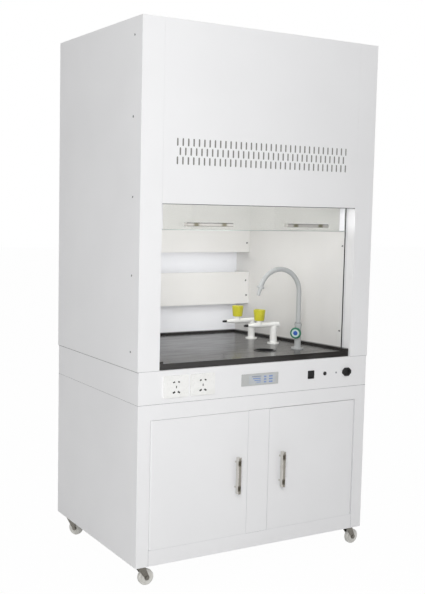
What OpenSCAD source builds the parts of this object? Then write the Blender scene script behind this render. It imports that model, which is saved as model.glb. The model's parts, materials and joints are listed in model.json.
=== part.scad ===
// Steel fume hood on castors: base cabinet, control band with worktop and services,
// upper hood with a counterbalanced glass sash, slanted liners, baffles and an exhaust fan.
// Millimetres. X to the right, Y to the back, Z up. The origin is on the floor, below the
// middle of the cabinet.

/* [Overall] */
// Width over the side panels of the upper hood
hood_w = 1200; // [1120:10:1500]
// Depth over the front and back panels
hood_d = 860; // [800:10:1000]
// Height of the roof above the floor
roof_z = 2350; // [2300:10:2500]
// Thickness of the folded sheet metal
sheet = 1.5; // [1:0.1:2]
// Width of the folded flanges that the tiers rest on
flange_w = 25; // [15:1:35]
// Running clearance of pins and shafts, on the radius
run_fit = 0.05; // [0.02:0.01:0.1]
// Clearance between faces that turn or slide past each other
face_gap = 0.3; // [0.2:0.1:1]

/* [Base cabinet] */
// Floor to the underside of the base cabinet
castor_h = 100; // [98:1:130]
// Height of the base cabinet
base_h = 685; // [600:5:740]
// Step in from the upper hood's side to the base's side
side_step = 4; // [3.5:0.5:10]
// Depth of the folded front frame
frame_d = 20; // [19:1:30]
// Width of the outer stiles
stile_w = 58; // [45:1:80]
// Height of the top rail
top_rail_h = 65; // [45:1:90]
// Height of the bottom rail
bottom_rail_h = 66; // [45:1:90]
// Width of the middle stile between the doors
mullion_w = 108; // [60:1:140]
// Gap all round each door
door_gap = 2.5; // [2:0.1:4]
// Thickness of the doors
door_t = 18; // [16.5:0.5:18.5]
// Radius of the door pivot pins
pivot_r = 4; // [3:0.5:5]
// Pivot axis to the door's outer edge and front face
pivot_inset = 8; // [7:0.5:9]
// Depth of the pivot bores in the doors
pivot_bore = 22; // [15:1:40]
// Length of the door handles
handle_len = 160; // [120:1:220]
// Width of the handle bars
handle_w = 16; // [12:1:18]
// Depth of the handle bars, front to back
handle_d = 26; // [18:1:28]
// Door face to the back of the handle bar
handle_stand = 14; // [12:1:18]
// Radius of the handle standoffs
stand_r = 4.5; // [3:0.5:6]
// Door's free edge to the handle
handle_inset = 60.5; // [40:0.5:90]
// Distance between the standoffs of a door handle
handle_hole_pitch = 112; // [90:1:118]

/* [Castors] */
// Radius of the castor wheels
wheel_r = 35; // [30:0.5:35]
// Width of the castor wheels
wheel_w = 24; // [18:1:28]
// Radius of the wheel axles
axle_r = 5; // [4:0.5:6]
// Swivel axis to wheel axle
trail = 36; // [30:1:40]
// Swivel axis to the base's side
castor_inset = 40; // [40:1:60]
// Swivel axis to the base's front and back
castor_inset_y = 58; // [40:1:80]
// Side of the square castor plates
castor_plate = 72; // [64:1:80]
// Thickness of the castor plates and fork legs
castor_t = 3; // [2.5:0.5:4]
// Radius of the swivel pins
kingpin_r = 7; // [5:0.5:9]

/* [Control band] */
// Height of the control band
band_h = 139; // [125:1:180]
// Left side of the band to the middle of the left socket
socket_inset = 174; // [156:1:196]
// Distance between the two sockets
socket_pitch = 128; // [122:1:150]
// Width of a socket plate
socket_w = 118; // [80:1:120]
// Height of a socket plate
socket_h = 92; // [80:1:100]
// How far the socket plates stand proud
socket_proud = 7; // [4:0.5:10]
// Middle of the display from the middle of the hood
display_x = -2; // [-40:1:40]
// Width of the display
display_w = 193; // [150:1:200]
// Height of the display
display_h = 52; // [40:1:70]
// Right side of the band to the middle of the rocker switch
switch_inset = 320; // [306:1:396]
// Width of the switch bezel
switch_w = 34; // [28:0.5:40]
// Height of the switch bezel
switch_h = 37; // [30:0.5:45]
// Tilt of the rocker to each side, in degrees
rocker_tilt = 8; // [4:1:10]
// Right side of the band to the middle of the push button
button_inset = 241; // [206:1:266]
// Radius of the push button
button_r = 6.5; // [5:0.5:12]
// Right side of the band to the middle of the power inlet
inlet_inset = 117; // [106:1:166]
// Width of the power inlet
inlet_w = 48; // [44:1:60]
// Height of the power inlet
inlet_h = 38; // [36:1:60]

/* [Worktop] */
// Thickness of the worktop
worktop_t = 26; // [18:1:35]
// Step back from the front face to the worktop's edge
worktop_step = 13; // [2:1:24]
// Height of the raised edge
lip_h = 10; // [6:1:15]
// Width of the raised edge
lip_w = 22; // [12:1:30]
// Right post to the middle of the cup sink
sink_inset = 363; // [340:1:400]
// Worktop's front edge to the middle of the cup sink
sink_setback = 159; // [137:1:217]
// Radius of the cup sink's rim
sink_r = 52; // [46:1:60]
// Depth of the cup sink
sink_depth = 90; // [60:1:110]
// Outer radius of the drain pipes
drain_r = 18; // [15:0.5:22]
// How far the drain stub stands out of the back
drain_stub = 25; // [10:1:40]

/* [Services] */
// Right post to the columns of the gas valves
valve_inset = 200; // [180:1:220]
// Baffles to the column of the rear gas valve
valve_setback = 193; // [160:1:240]
// Distance between the gas valves
valve_pitch = 194; // [180:1:230]
// Height of a gas valve's arm above the worktop
arm_z = 93; // [70:1:110]
// Gas valve's column to its nozzle tip
arm_len = 168; // [150:1:180]
// Gas valve's column to the knob's axis
knob_x = 84; // [60:1:90]
// Largest radius of a gas knob
knob_r = 28.5; // [20:0.5:34]
// Height of a gas knob
knob_h = 52; // [35:1:60]
// Right post to the faucet's column
faucet_inset = 189; // [160:1:200]
// Worktop's front edge to the faucet's column
faucet_setback = 145; // [137:1:217]
// Height of the faucet's column
column_h = 121; // [100:1:150]
// Radius of the faucet's tube
spout_r = 11; // [8:0.5:12]
// Radius of the faucet's bend
bend_r = 110; // [80:1:115]
// Height of the bend's centre above the worktop
bend_z = 264; // [220:1:320]
// Angle of the faucet's bend, in degrees
bend_angle = 163; // [150:1:180]
// Height of the water valve above the worktop
water_z = 78; // [60:1:85]
// Direction of the water valve, in degrees to the left of the front
water_yaw = 50; // [0:5:60]
// Radius of the water valve's hand wheel
water_wheel_r = 26; // [20:0.5:30]

/* [Upper hood] */
// Width of the front posts
post_w = 100; // [95:1:120]
// Depth of the posts' inner returns
post_return = 50; // [40:1:60]
// Depth of the posts' outer returns
post_outer = 85; // [75:1:110]
// Height of the sash opening above the control band
opening_h = 687; // [600:1:690]
// Gap between the fascia and the posts
seam_gap = 0.5; // [0.4:0.1:0.9]
// Depth of the fascia's folded edges
fascia_d = 30; // [20:1:32]
// Depth of the fascia's lower edge
lintel_d = 18; // [10:1:24]
// Number of slots in the outer rows of the grille
slot_n = 35; // [10:1:36]
// Distance between slots
slot_pitch = 25.5; // [20:0.5:26]
// Width of a slot
slot_w = 7.5; // [4:0.5:10]
// Height of a slot
slot_h = 32; // [20:1:34]
// Distance between rows of slots
slot_row_pitch = 37.5; // [36:0.5:45]
// Middle row of slots above the sash opening
slot_z = 213; // [120:1:400]
// Thickness of the chamber's liner boards
liner_t = 5; // [4:0.5:8]
// How far each side liner comes in from front to back
liner_taper = 112; // [60:1:130]
// Back of the hood to the front of the back liner
back_gap = 30; // [20:1:60]
// Roof to the underside of the chamber's ceiling
plenum_h = 310; // [280:5:400]
// Back liner to the front of the baffles
baffle_gap = 100; // [70:1:130]
// Worktop to the lower edge of the middle baffle
low_slot = 156; // [80:1:180]
// Height of the middle baffle
baffle_mid_h = 164; // [120:1:200]
// Gap between the baffles
mid_slot = 103; // [50:1:130]
// Upper edge of the upper baffle to the chamber's ceiling
top_slot = 107; // [60:1:200]
// Radius of the screw heads
screw_r = 4.5; // [3:0.5:6]
// Distance between the screws of the side panels
screw_pitch = 320; // [250:5:325]

/* [Sash] */
// Thickness of the sash glass
glass_t = 6; // [5:0.5:8]
// Sash rail to the pulleys with the sash as it stands
lift_room = 65; // [62:1:90]
// Worktop to the sash's lower edge as it stands
sash_open = 552; // [300:1:560]
// Width of the sash tracks, front to back
track_w = 24; // [18:1:30]
// Depth of the sash tracks, sideways
track_d = 20; // [17:1:24]
// Depth of the groove in the sash tracks
groove_d = 16; // [10:1:17]
// Wall of the sash tracks behind the groove
track_back = 2.2; // [2:0.1:4]
// Clearance of the glass in its groove, on each side
glass_gap = 0.8; // [0.5:0.1:0.9]
// Length of the sash handles
sash_handle_len = 228; // [150:1:260]
// Middle of a sash handle from the middle of the hood
sash_handle_x = 255; // [180:1:320]
// Sash handle above the sash's lower edge
sash_handle_z = 25; // [15:1:60]
// Glass face to the back of a sash handle
sash_handle_stand = 14; // [12:1:16]
// Radius of the sash cables
cable_r = 1.5; // [1:0.25:2]
// Radius of the pulleys at the cable
pulley_r = 30; // [27:0.5:30]
// Width of the pulleys
pulley_w = 12; // [10:1:14]
// Roof to the pulley axis
pulley_drop = 42; // [40:1:45]
// Sash cable to the inner face of its post
cable_inset = 10; // [8:1:15]
// Width of a counterweight
weight_w = 44; // [30:1:50]
// Depth of a counterweight
weight_d = 60; // [40:1:70]
// Height of a counterweight
weight_h = 330; // [200:5:400]
// Pulley axis to the top of a counterweight as it hangs
weight_drop = 660; // [640:5:800]

/* [Exhaust] */
// Outer radius of the exhaust collar
duct_r = 125; // [100:1:150]
// Exhaust duct, distance back from the middle
duct_y = 200; // [150:1:210]
// Height of the exhaust collar above the roof
collar_h = 60; // [30:1:70]
// Radius of the fan motor
motor_r = 45; // [35:1:60]
// Height of the fan motor
motor_h = 90; // [60:1:110]
// Number of fan blades
blade_n = 6; // [3:1:8]
// Gap between the blade tips and the duct
tip_gap = 6; // [4:0.5:10]

/* [Hidden] */
$fn = 48;

// Small overshoot of every cut
cut = 1;

// Half sizes and heights of the tiers
hx = hood_w / 2;
hy = hood_d / 2;
bx = hx - side_step;
base_z = castor_h;
band_z = base_z + base_h;
hood_z = band_z + band_h;
work_z = hood_z + worktop_t;
under_roof = roof_z - sheet;
lintel_z = hood_z + opening_h;
control_z = (band_z + hood_z) / 2;

// Doors
door_z0 = base_z + bottom_rail_h;
door_z1 = band_z - top_rail_h;
door_x0 = mullion_w / 2;
door_x1 = bx - stile_w;
pivot_x = door_x1 - door_gap - pivot_inset;
pivot_y = -hy + pivot_inset;
pivot_collar_r = pivot_inset - 1;
pivot_head_r = pivot_inset - sheet - 0.2;
pivot_head_t = 3;
pivot_end_gap = 2;
door_stile = 2 * pivot_inset + 2;
door_lip = 15;
handle_x = door_x0 + door_gap + handle_inset;
handle_z = (door_z0 + door_z1) / 2;
handle_corner = 6;

// Castors: swivel axes, and the direction in which each one trails, in degrees from +X
castor_x = bx - castor_inset;
castor_y = hy - castor_inset_y;
castor_yaw = [0, 4, -55, 20];
castor_at = [
    [-castor_x, -castor_y], [castor_x, -castor_y], [-castor_x, castor_y], [castor_x, castor_y]
];
race_r = 24;
race_t = 4;
crown_t = 4;
crown_z1 = castor_h - castor_t - race_t - face_gap;
crown_z0 = crown_z1 - crown_t;
rivet_r = kingpin_r + 3;
rivet_t = 2.5;
leg_gap = 2;
leg_y = wheel_w / 2 + leg_gap;
leg_end_r = axle_r + 6;
axle_head_r = axle_r + 3;
axle_head_t = 3;

// Control band fittings
socket_x = socket_inset - bx;
switch_x = bx - switch_inset;
button_x = bx - button_inset;
inlet_x = bx - inlet_inset;
back_box = 60;
back_box_d = 40;
box_gap = 4;
bezel_t = 3;
display_rim = 6;
switch_rim = 4;
switch_wall = 2;
switch_d = 26;
rocker_y = 4;
rocker_gap = 1.3;
rocker_pin_r = 2;
button_rim = 2.2;
button_sleeve = 1.3;
button_proud = 5;
button_d = 14;
inlet_proud = 8;
inlet_body_r = 16;
inlet_socket_r = 14;
inlet_body_d = 25;

// Posts, tracks, liners
post_in = hx - post_w;
track_y0 = -hy + post_return;
track_y1 = track_y0 + track_w;
glass_y = track_y1 - track_back - glass_gap - glass_t / 2;
liner_y0 = track_y1;
liner_y1 = hy - back_gap;
liner_x1 = post_in - liner_taper;
taper_angle = atan2(liner_taper, liner_y1 - liner_y0);
ceiling_z = roof_z - plenum_h;
chamber_h = ceiling_z - work_z;
post_lip = 12;
baffle_y = liner_y1 - baffle_gap;
baffle_mid_z = work_z + low_slot;
baffle_up_z = baffle_mid_z + baffle_mid_h + mid_slot;
baffle_up_h = ceiling_z - top_slot - baffle_up_z;
baffle_side_gap = 3;
baffle_lip = 15;
baffle_flange_x = liner_x1 - 8;

// Worktop
worktop_y0 = -hy + worktop_step;
worktop_x = bx - 1;
worktop_y1 = hy - sheet - 1;
worktop_side_gap = 2;
lip_x = post_in - worktop_side_gap;
sink_x = post_in - sink_inset;
sink_y = worktop_y0 + sink_setback;
sink_hole_r = sink_r - 4;
sink_cup_r = sink_r - 7.5;
sink_wall = 3.5;
sink_rim_t = 2;
seat_d = 1;
seat_gap = 0.5;
tail_len = 70;
trap_h = 100;
trap_r = drain_r + 12;
trap_overlap = 25;
trap_drop = 35;
trap_fit = 0.1;
sleeve_t = 5;
outlet_r = drain_r - 2;
outlet_wall = 3;

// Services
valve_x = post_in - valve_inset;
valve_y = baffle_y - valve_setback;
faucet_x = post_in - faucet_inset;
faucet_y = worktop_y0 + faucet_setback;
service_flange_r = 28.5;
service_flange_h = 6;
shank_r = 10.5;
shank_gap = 0.5;
shank_len = 30;
nut_r = 19;
nut_h = 12;
valve_r = 17;
arm_r = 12.5;
arm_over = 27;
arm_end_r = 6;
nozzle_len = 19;
nozzle_r = 5;
nozzle_rib_r = 6.2;
nozzle_ribs = 2;
bonnet_base_r = 15;
bonnet_r = 11;
knob_rise = 23;
knob_z = arm_z + knob_rise;
knob_taper = 5;
knob_flutes = 10;
flute_r = 5;
spindle_r = 5;
spindle_len = 28;
column_r = 15;
socket_depth = 30;
water_out = 32;
water_r = 12;
wheel_h = 16;
tip_len = 42;
tip_top_r = 11;
tip_r = 6.5;
tip_wall = 2;
collar_r = spout_r + 6;
tip_collar_h = 7;

// Sash
sash_z = work_z + sash_open;
glass_x = post_in + groove_d - 3;
rail_x = post_in - 5;
rail_front = 13;
rail_wall = 2;
rail_h = 28;
rail_cover = 8;
sash_handle_pitch = 0.6 * sash_handle_len;
cable_x = post_in - cable_inset;
pulley_x = cable_x + pulley_r;
weight_x = pulley_x + pulley_r;
pulley_z = roof_z - pulley_drop;
pulley_rim = 3;
sash_top = pulley_z - pulley_r - pulley_rim - lift_room - rail_cover;
pulley_axle_r = 5;
cheek_t = 3;
cheek_w = 24;
cheek_gap = 0.5;
cheek_below = 8;
hanger_t = 3;
hanger_w = 44;
weight_top = pulley_z - weight_drop;

// Exhaust
duct_step = 2;
pipe_r = duct_r - duct_step;
pipe_in = pipe_r - sheet;
roof_hole_r = pipe_r + 0.5;
duct_flange = 25;
duct_flange_t = 2;
strut_t = 4;
strut_h = 40;
motor_rise = 95;
motor_z = ceiling_z + liner_t + motor_rise;
strut_rise = 20;
shaft_r = 6;
hub_r = motor_r - 5;
hub_h = 40;
hub_gap = 4;
blade_t = 3;
blade_w = 52;
blade_pitch = 28;

// Lamp below the chamber's ceiling
lamp_half = 300;
lamp_deep = 45;
lamp_wide = 110;
lamp_narrow = 70;
lamp_rim = 12;
lamp_setback = 140;

// Screw rows
screw_y = -hy + 70;
screw_z0 = hood_z + 73;
screw_n = floor((under_roof - 40 - screw_z0) / screw_pitch) + 1;
screw_h = 1.8;
back_screw_x = hx - 30;
liner_screw_in = 11;
liner_screw_low = 81;
liner_screw_high = 486;
liner_screw_z = [work_z + liner_screw_low, work_z + liner_screw_high];
baffle_screw_in = 14;
baffle_screw_edge = 45;

white = "#f2f2f0";
liner_white = "#e6e4df";
steel = "#b9bcc0";
dark_steel = "#6d7074";
black = "#202123";
grey = "#c9cccd";

function liner_x(y) = post_in - liner_taper * (y - liner_y0) / (liner_y1 - liner_y0);

// A box between limits
module span(x, y, z) {
    translate([x[0], y[0], z[0]])
        cube([x[1] - x[0], y[1] - y[0], z[1] - z[0]]);
}

// The same shape on the left and on the right
module both_sides() {
    children();
    mirror([1, 0, 0]) children();
}

// A flat outline in the XZ plane, made thick towards the back from y
module stand_up(y, t) {
    translate([0, y + t, 0]) rotate([90, 0, 0]) linear_extrude(t) children();
}

module round_rect(w, h, r) {
    square([w - 2 * r, h], center = true);
    square([w, h - 2 * r], center = true);
    for (x = [-1, 1], z = [-1, 1])
        translate([x * (w / 2 - r), z * (h / 2 - r)]) circle(r);
}

// A round bar along Y between two depths
module bar_y(r, x, z, y) {
    translate([x, y[0], z]) rotate([-90, 0, 0]) cylinder(r = r, h = y[1] - y[0]);
}

// Base cabinet

module base_carcass() {
    color(white) difference() {
        span([-bx, bx], [-hy + frame_d, hy], [base_z, band_z]);
        span([-bx + sheet, bx - sheet], [-hy + frame_d - cut, hy - sheet],
             [base_z + sheet, band_z - sheet]);
        span([-bx + flange_w, bx - flange_w], [-hy + frame_d - cut, hy - flange_w],
             [band_z - sheet - cut, band_z + cut]);
        bar_y(outlet_r + trap_fit, sink_x, trap_outlet_z, [hy - sheet - cut, hy + cut]);
    }
}

module door_openings(grow, y) {
    both_sides()
        span([door_x0 - grow, door_x1 + grow], y, [door_z0 - grow, door_z1 + grow]);
}

module base_front_frame() {
    color(white) difference() {
        union() {
            difference() {
                span([-bx, bx], [-hy, -hy + frame_d], [base_z, band_z]);
                span([-bx + sheet, bx - sheet], [-hy + sheet, -hy + frame_d + cut],
                     [base_z + sheet, band_z - sheet]);
            }
            door_openings(sheet, [-hy, -hy + frame_d]);
        }
        door_openings(0, [-hy - cut, -hy + frame_d + cut]);
        both_sides() translate([pivot_x, pivot_y, door_z0 - sheet - cut])
            cylinder(r = pivot_r + run_fit, h = door_z1 - door_z0 + 2 * (sheet + cut));
    }
}

// One pivot pin, from its head inside the rail to its end inside the door
module pivot_pin() {
    translate([0, 0, -sheet - pivot_head_t]) cylinder(r = pivot_head_r, h = pivot_head_t);
    translate([0, 0, -sheet - pivot_head_t])
        cylinder(r = pivot_r, h = pivot_head_t + sheet + door_gap + pivot_bore - pivot_end_gap);
    cylinder(r = pivot_collar_r, h = door_gap - face_gap);
}

module door_pivot_pins() {
    color(dark_steel) both_sides() {
        translate([pivot_x, pivot_y, door_z0]) pivot_pin();
        translate([pivot_x, pivot_y, door_z1]) mirror([0, 0, 1]) pivot_pin();
    }
}

// The right door: a folded pan with a round edge and a solid pivot stile
module door() {
    z0 = door_z0 + door_gap;
    z1 = door_z1 - door_gap;
    x0 = door_x0 + door_gap;
    x1 = door_x1 - door_gap;
    y1 = -hy + door_t;
    difference() {
        union() {
            span([x0, pivot_x], [-hy, y1], [z0, z1]);
            span([pivot_x, x1], [pivot_y, y1], [z0, z1]);
            translate([pivot_x, pivot_y, z0]) cylinder(r = pivot_inset, h = z1 - z0);
        }
        span([x0 + sheet, x1 - door_stile], [-hy + sheet, y1 - sheet], [z0 + sheet, z1 - sheet]);
        span([x0 + door_lip, x1 - door_stile - door_lip], [-hy + sheet, y1 + cut],
             [z0 + door_lip, z1 - door_lip]);
        for (z = [z0 - cut, z1 - pivot_bore])
            translate([pivot_x, pivot_y, z])
                cylinder(r = pivot_r + run_fit, h = pivot_bore + cut);
    }
}

module door_left() {
    color(white) mirror([1, 0, 0]) door();
}

module door_right() {
    color(white) door();
}

// A handle along Z on the plane y = 0: a deep rounded bar on two round standoffs
module pull_handle(length, pitch, stand) {
    translate([0, -stand - handle_d / 2, -length / 2]) linear_extrude(length)
        round_rect(handle_w, handle_d, handle_corner);
    for (z = [-1, 1])
        bar_y(stand_r, 0, z * pitch / 2, [-stand - handle_corner, 0]);
}

module door_handle() {
    translate([handle_x, -hy, handle_z]) pull_handle(handle_len, handle_hole_pitch, handle_stand);
}

module door_handle_left() {
    color(steel) mirror([1, 0, 0]) door_handle();
}

module door_handle_right() {
    color(steel) door_handle();
}

// Castors

module castor_plates() {
    color(steel) for (p = castor_at) translate([p[0], p[1], 0]) {
        span([-castor_plate / 2, castor_plate / 2], [-castor_plate / 2, castor_plate / 2],
             [castor_h - castor_t, castor_h]);
        translate([0, 0, castor_h - castor_t - race_t]) cylinder(r = race_r, h = race_t);
        translate([0, 0, crown_z0 - face_gap])
            cylinder(r = kingpin_r, h = castor_h - castor_t - crown_z0 + face_gap);
        translate([0, 0, crown_z0 - face_gap - rivet_t]) cylinder(r = rivet_r, h = rivet_t);
    }
}

// Outline of a fork leg, seen along the axle
module fork_leg() {
    polygon([
        [-race_r * 0.7, crown_z1], [race_r, crown_z1],
        [trail + leg_end_r, wheel_r], [trail - leg_end_r, wheel_r]
    ]);
    translate([trail, wheel_r]) circle(leg_end_r);
}

// A fork trailing along +X, with its axle riveted in
module castor_fork(i) {
    color(dark_steel) translate([castor_at[i][0], castor_at[i][1], 0])
        rotate([0, 0, castor_yaw[i]]) {
            difference() {
                union() {
                    translate([0, 0, crown_z0]) cylinder(r = race_r, h = crown_t);
                    span([-race_r * 0.7, race_r], [-leg_y - castor_t, leg_y + castor_t],
                         [crown_z0, crown_z1]);
                    for (y = [-leg_y - castor_t, leg_y]) stand_up(y, castor_t) fork_leg();
                }
                translate([0, 0, crown_z0 - cut])
                    cylinder(r = kingpin_r + run_fit, h = crown_t + 2 * cut);
            }
            bar_y(axle_r, trail, wheel_r, [-leg_y - castor_t, leg_y + castor_t]);
            for (y = [-leg_y - castor_t - axle_head_t, leg_y + castor_t])
                bar_y(axle_head_r, trail, wheel_r, [y, y + axle_head_t]);
        }
}

module castor_wheel(i) {
    edge = 4;
    rim_r = wheel_r - 9;
    dish = 3;
    hub = axle_r + 7;
    w = wheel_w / 2;
    color(grey) translate([castor_at[i][0], castor_at[i][1], 0])
        rotate([0, 0, castor_yaw[i]]) translate([trail, 0, wheel_r]) rotate([90, 0, 0])
            rotate_extrude() polygon([
                [axle_r + run_fit, -w], [hub, -w], [hub + dish, -w + dish],
                [rim_r - dish, -w + dish], [rim_r, -w + 1], [wheel_r - edge, -w + 1],
                [wheel_r - 1, -w + edge], [wheel_r, 0], [wheel_r - 1, w - edge],
                [wheel_r - edge, w - 1], [rim_r, w - 1], [rim_r - dish, w - dish],
                [hub + dish, w - dish], [hub, w], [axle_r + run_fit, w]
            ]);
}

module castor_fork_fl() { castor_fork(0); }
module castor_fork_fr() { castor_fork(1); }
module castor_fork_rl() { castor_fork(2); }
module castor_fork_rr() { castor_fork(3); }
module castor_wheel_fl() { castor_wheel(0); }
module castor_wheel_fr() { castor_wheel(1); }
module castor_wheel_rl() { castor_wheel(2); }
module castor_wheel_rr() { castor_wheel(3); }

// Control band

module band_shell() {
    color(white) difference() {
        span([-bx, bx], [-hy + sheet, hy], [band_z, hood_z]);
        span([-bx + sheet, bx - sheet], [-hy, hy - sheet], [band_z + sheet, hood_z - sheet]);
        span([-bx + flange_w, bx - flange_w], [-hy, hy - flange_w], [band_z - cut, hood_z + cut]);
    }
}

module socket_places() {
    for (i = [0, 1]) translate([socket_x + i * socket_pitch, 0, control_z]) children();
}

module control_fascia() {
    fx = bx - flange_w - 1;
    color(white) difference() {
        union() {
            span([-bx, bx], [-hy, -hy + sheet], [band_z, hood_z]);
            for (z = [band_z, hood_z - sheet])
                span([-fx, fx], [-hy, -hy + flange_w], [z, z + sheet]);
        }
        socket_places() stand_up(-hy - cut, sheet + 2 * cut)
            square(back_box + 2 * box_gap, center = true);
        translate([display_x, 0, control_z]) stand_up(-hy - cut, sheet + 2 * cut)
            square([display_w - display_rim, display_h - display_rim], center = true);
        translate([switch_x, 0, control_z]) stand_up(-hy - cut, sheet + 2 * cut)
            square([switch_w - switch_rim + 1, switch_h - switch_rim + 1], center = true);
        bar_y(button_r + button_sleeve + 0.5, button_x, control_z, [-hy - cut, -hy + sheet + cut]);
        bar_y(inlet_body_r + 0.5, inlet_x, control_z, [-hy - cut, -hy + sheet + cut]);
    }
}

// Holes of a five pole socket: two pins above, earth and two slanted blades below
module socket_holes() {
    pin_x = 11.5;
    for (x = [-1, 1]) {
        translate([x * pin_x, 19]) rotate([0, 0, x * 70]) square([4.5, 8], center = true);
        translate([x * pin_x, -24]) rotate([0, 0, x * 60]) square([5, 10], center = true);
    }
    translate([0, -2]) square([3.4, 9], center = true);
}

module power_sockets() {
    color(white) socket_places() {
        difference() {
            stand_up(-hy - socket_proud, socket_proud) round_rect(socket_w, socket_h, 4);
            stand_up(-hy - socket_proud - cut, socket_proud) socket_holes();
        }
        stand_up(-hy, back_box_d) square(back_box, center = true);
    }
}

module display_panel() {
    color(grey) translate([display_x, 0, control_z]) {
        stand_up(-hy - bezel_t, bezel_t) round_rect(display_w, display_h, 2);
        stand_up(-hy, flange_w)
            square([display_w - display_rim - 2, display_h - display_rim - 2], center = true);
    }
}

// Bezels that hold the rocker and the push button
module switch_housings() {
    iw = switch_w - switch_rim - 2 * switch_wall;
    ih = switch_h - switch_rim - 2 * switch_wall;
    color(black) {
        translate([switch_x, 0, control_z]) difference() {
            union() {
                stand_up(-hy - bezel_t, bezel_t) round_rect(switch_w, switch_h, 2);
                stand_up(-hy, switch_d)
                    square([switch_w - switch_rim, switch_h - switch_rim], center = true);
            }
            stand_up(-hy - bezel_t - cut, bezel_t + switch_d - switch_wall + cut)
                square([iw, ih], center = true);
            translate([-switch_w / 2, -hy + rocker_y, 0]) rotate([0, 90, 0])
                cylinder(r = rocker_pin_r + run_fit, h = switch_w);
        }
        translate([button_x, 0, control_z]) difference() {
            union() {
                bar_y(button_r + button_rim, 0, 0, [-hy - 2, -hy]);
                bar_y(button_r + button_sleeve, 0, 0, [-hy - 2, -hy + button_d + 4]);
            }
            bar_y(button_r + run_fit, 0, 0, [-hy - 2 - cut, -hy + button_d + 4 + cut]);
        }
    }
}

// The rocker, drawn with its upper half pressed
module switch_rocker() {
    iw = switch_w - switch_rim - 2 * switch_wall - 1;
    half = (switch_h - switch_rim) / 2 - switch_wall - rocker_gap;
    color(black) translate([switch_x, -hy + rocker_y, control_z]) rotate([-rocker_tilt, 0, 0]) {
        translate([-iw / 2, 0, 0]) rotate([90, 0, 90]) linear_extrude(iw) polygon([
            [6, -half + 2], [-6, -half + 1], [-8.5, -half + 1], [-7, 0],
            [-8.5, half - 1], [-6, half - 1], [6, half - 2]
        ]);
        translate([-iw / 2 - switch_wall, 0, 0]) rotate([0, 90, 0])
            cylinder(r = rocker_pin_r, h = iw + 2 * switch_wall);
    }
}

module push_button() {
    color(black) bar_y(button_r, button_x, control_z, [-hy - button_proud, -hy + button_d]);
}

module power_inlet() {
    corner = 13;
    w = inlet_w / 2;
    h = inlet_h / 2;
    color(black) translate([inlet_x, 0, control_z]) {
        difference() {
            stand_up(-hy - inlet_proud, inlet_proud) polygon([
                [-w, -h + corner], [-w + corner, -h], [w - corner, -h], [w, -h + corner],
                [w, h - corner], [w - corner, h], [-w + corner, h], [-w, h - corner]
            ]);
            bar_y(inlet_socket_r, 0, 0, [-hy - inlet_proud - cut, -hy - 2]);
        }
        for (a = [90, 210, 330])
            bar_y(1.8, 8 * cos(a), 8 * sin(a), [-hy - inlet_proud + 1, -hy - 2]);
        bar_y(inlet_body_r, 0, 0, [-hy - 2, -hy + inlet_body_d]);
    }
}

// Worktop and services

// A hole through the worktop, with a shallow seat round it for a rim
module seated_hole(r, rim_r) {
    translate([0, 0, -worktop_t - cut]) cylinder(r = r, h = worktop_t + 2 * cut);
    translate([0, 0, -seat_d]) cylinder(r = rim_r + seat_gap, h = seat_d + cut);
}

module worktop() {
    color("#2b2a2a") difference() {
        union() {
            span([-lip_x, lip_x], [worktop_y0, track_y0 + cut], [hood_z, work_z]);
            span([-worktop_x, worktop_x], [track_y0, worktop_y1], [hood_z, work_z]);
            translate([0, 0, hood_z]) linear_extrude(worktop_t + lip_h) difference() {
                polygon([
                    [-lip_x, worktop_y0], [lip_x, worktop_y0], [lip_x, liner_y0],
                    [liner_x1, liner_y1], [-liner_x1, liner_y1], [-lip_x, liner_y0]
                ]);
                polygon([
                    [-lip_x + lip_w, worktop_y0 - cut], [lip_x - lip_w, worktop_y0 - cut],
                    [lip_x - lip_w, liner_y0], [liner_x1 - lip_w, liner_y1 - lip_w],
                    [-liner_x1 + lip_w, liner_y1 - lip_w], [-lip_x + lip_w, liner_y0]
                ]);
            }
        }
        translate([sink_x, sink_y, work_z]) seated_hole(sink_hole_r, sink_r);
        for (i = [0, 1])
            translate([valve_x, valve_y - i * valve_pitch, work_z])
                seated_hole(shank_r + shank_gap, service_flange_r);
        translate([faucet_x, faucet_y, work_z])
            seated_hole(shank_r + shank_gap, service_flange_r);
    }
}

sink_bottom = -sink_depth;
tail_end = sink_bottom - tail_len;

module cup_sink() {
    outer = sink_cup_r;
    inner = outer - sink_wall;
    bore = drain_r - sink_wall;
    color(black) translate([sink_x, sink_y, work_z]) rotate_extrude() polygon([
        [sink_r - 1, sink_rim_t], [sink_r, 1], [sink_r, -seat_d], [outer, -seat_d],
        [outer, sink_bottom + 14], [drain_r, sink_bottom], [drain_r, tail_end],
        [bore, tail_end], [bore, sink_bottom + 4], [inner, sink_bottom + 17],
        [inner, sink_rim_t]
    ]);
}

trap_top = work_z + tail_end + trap_overlap;
trap_z1 = trap_top - trap_overlap - 5;
trap_outlet_z = trap_z1 - trap_drop;

module sink_trap() {
    r = trap_r;
    inner = drain_r + trap_fit;
    color(black) {
        translate([sink_x, sink_y, 0]) rotate_extrude() polygon([
            [inner, trap_top], [inner + sleeve_t, trap_top], [inner + sleeve_t, trap_z1],
            [r - 3, trap_z1], [r, trap_z1 - 3], [r, trap_z1 - trap_h + 10],
            [r - 10, trap_z1 - trap_h], [0, trap_z1 - trap_h], [0, trap_z1 - 4],
            [inner, trap_z1 - 4]
        ]);
        difference() {
            bar_y(outlet_r, sink_x, trap_outlet_z, [sink_y + trap_r - 3, hy + drain_stub]);
            bar_y(outlet_r - outlet_wall, sink_x, trap_outlet_z,
                  [sink_y + trap_r + 8, hy + drain_stub + cut]);
        }
    }
}

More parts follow.
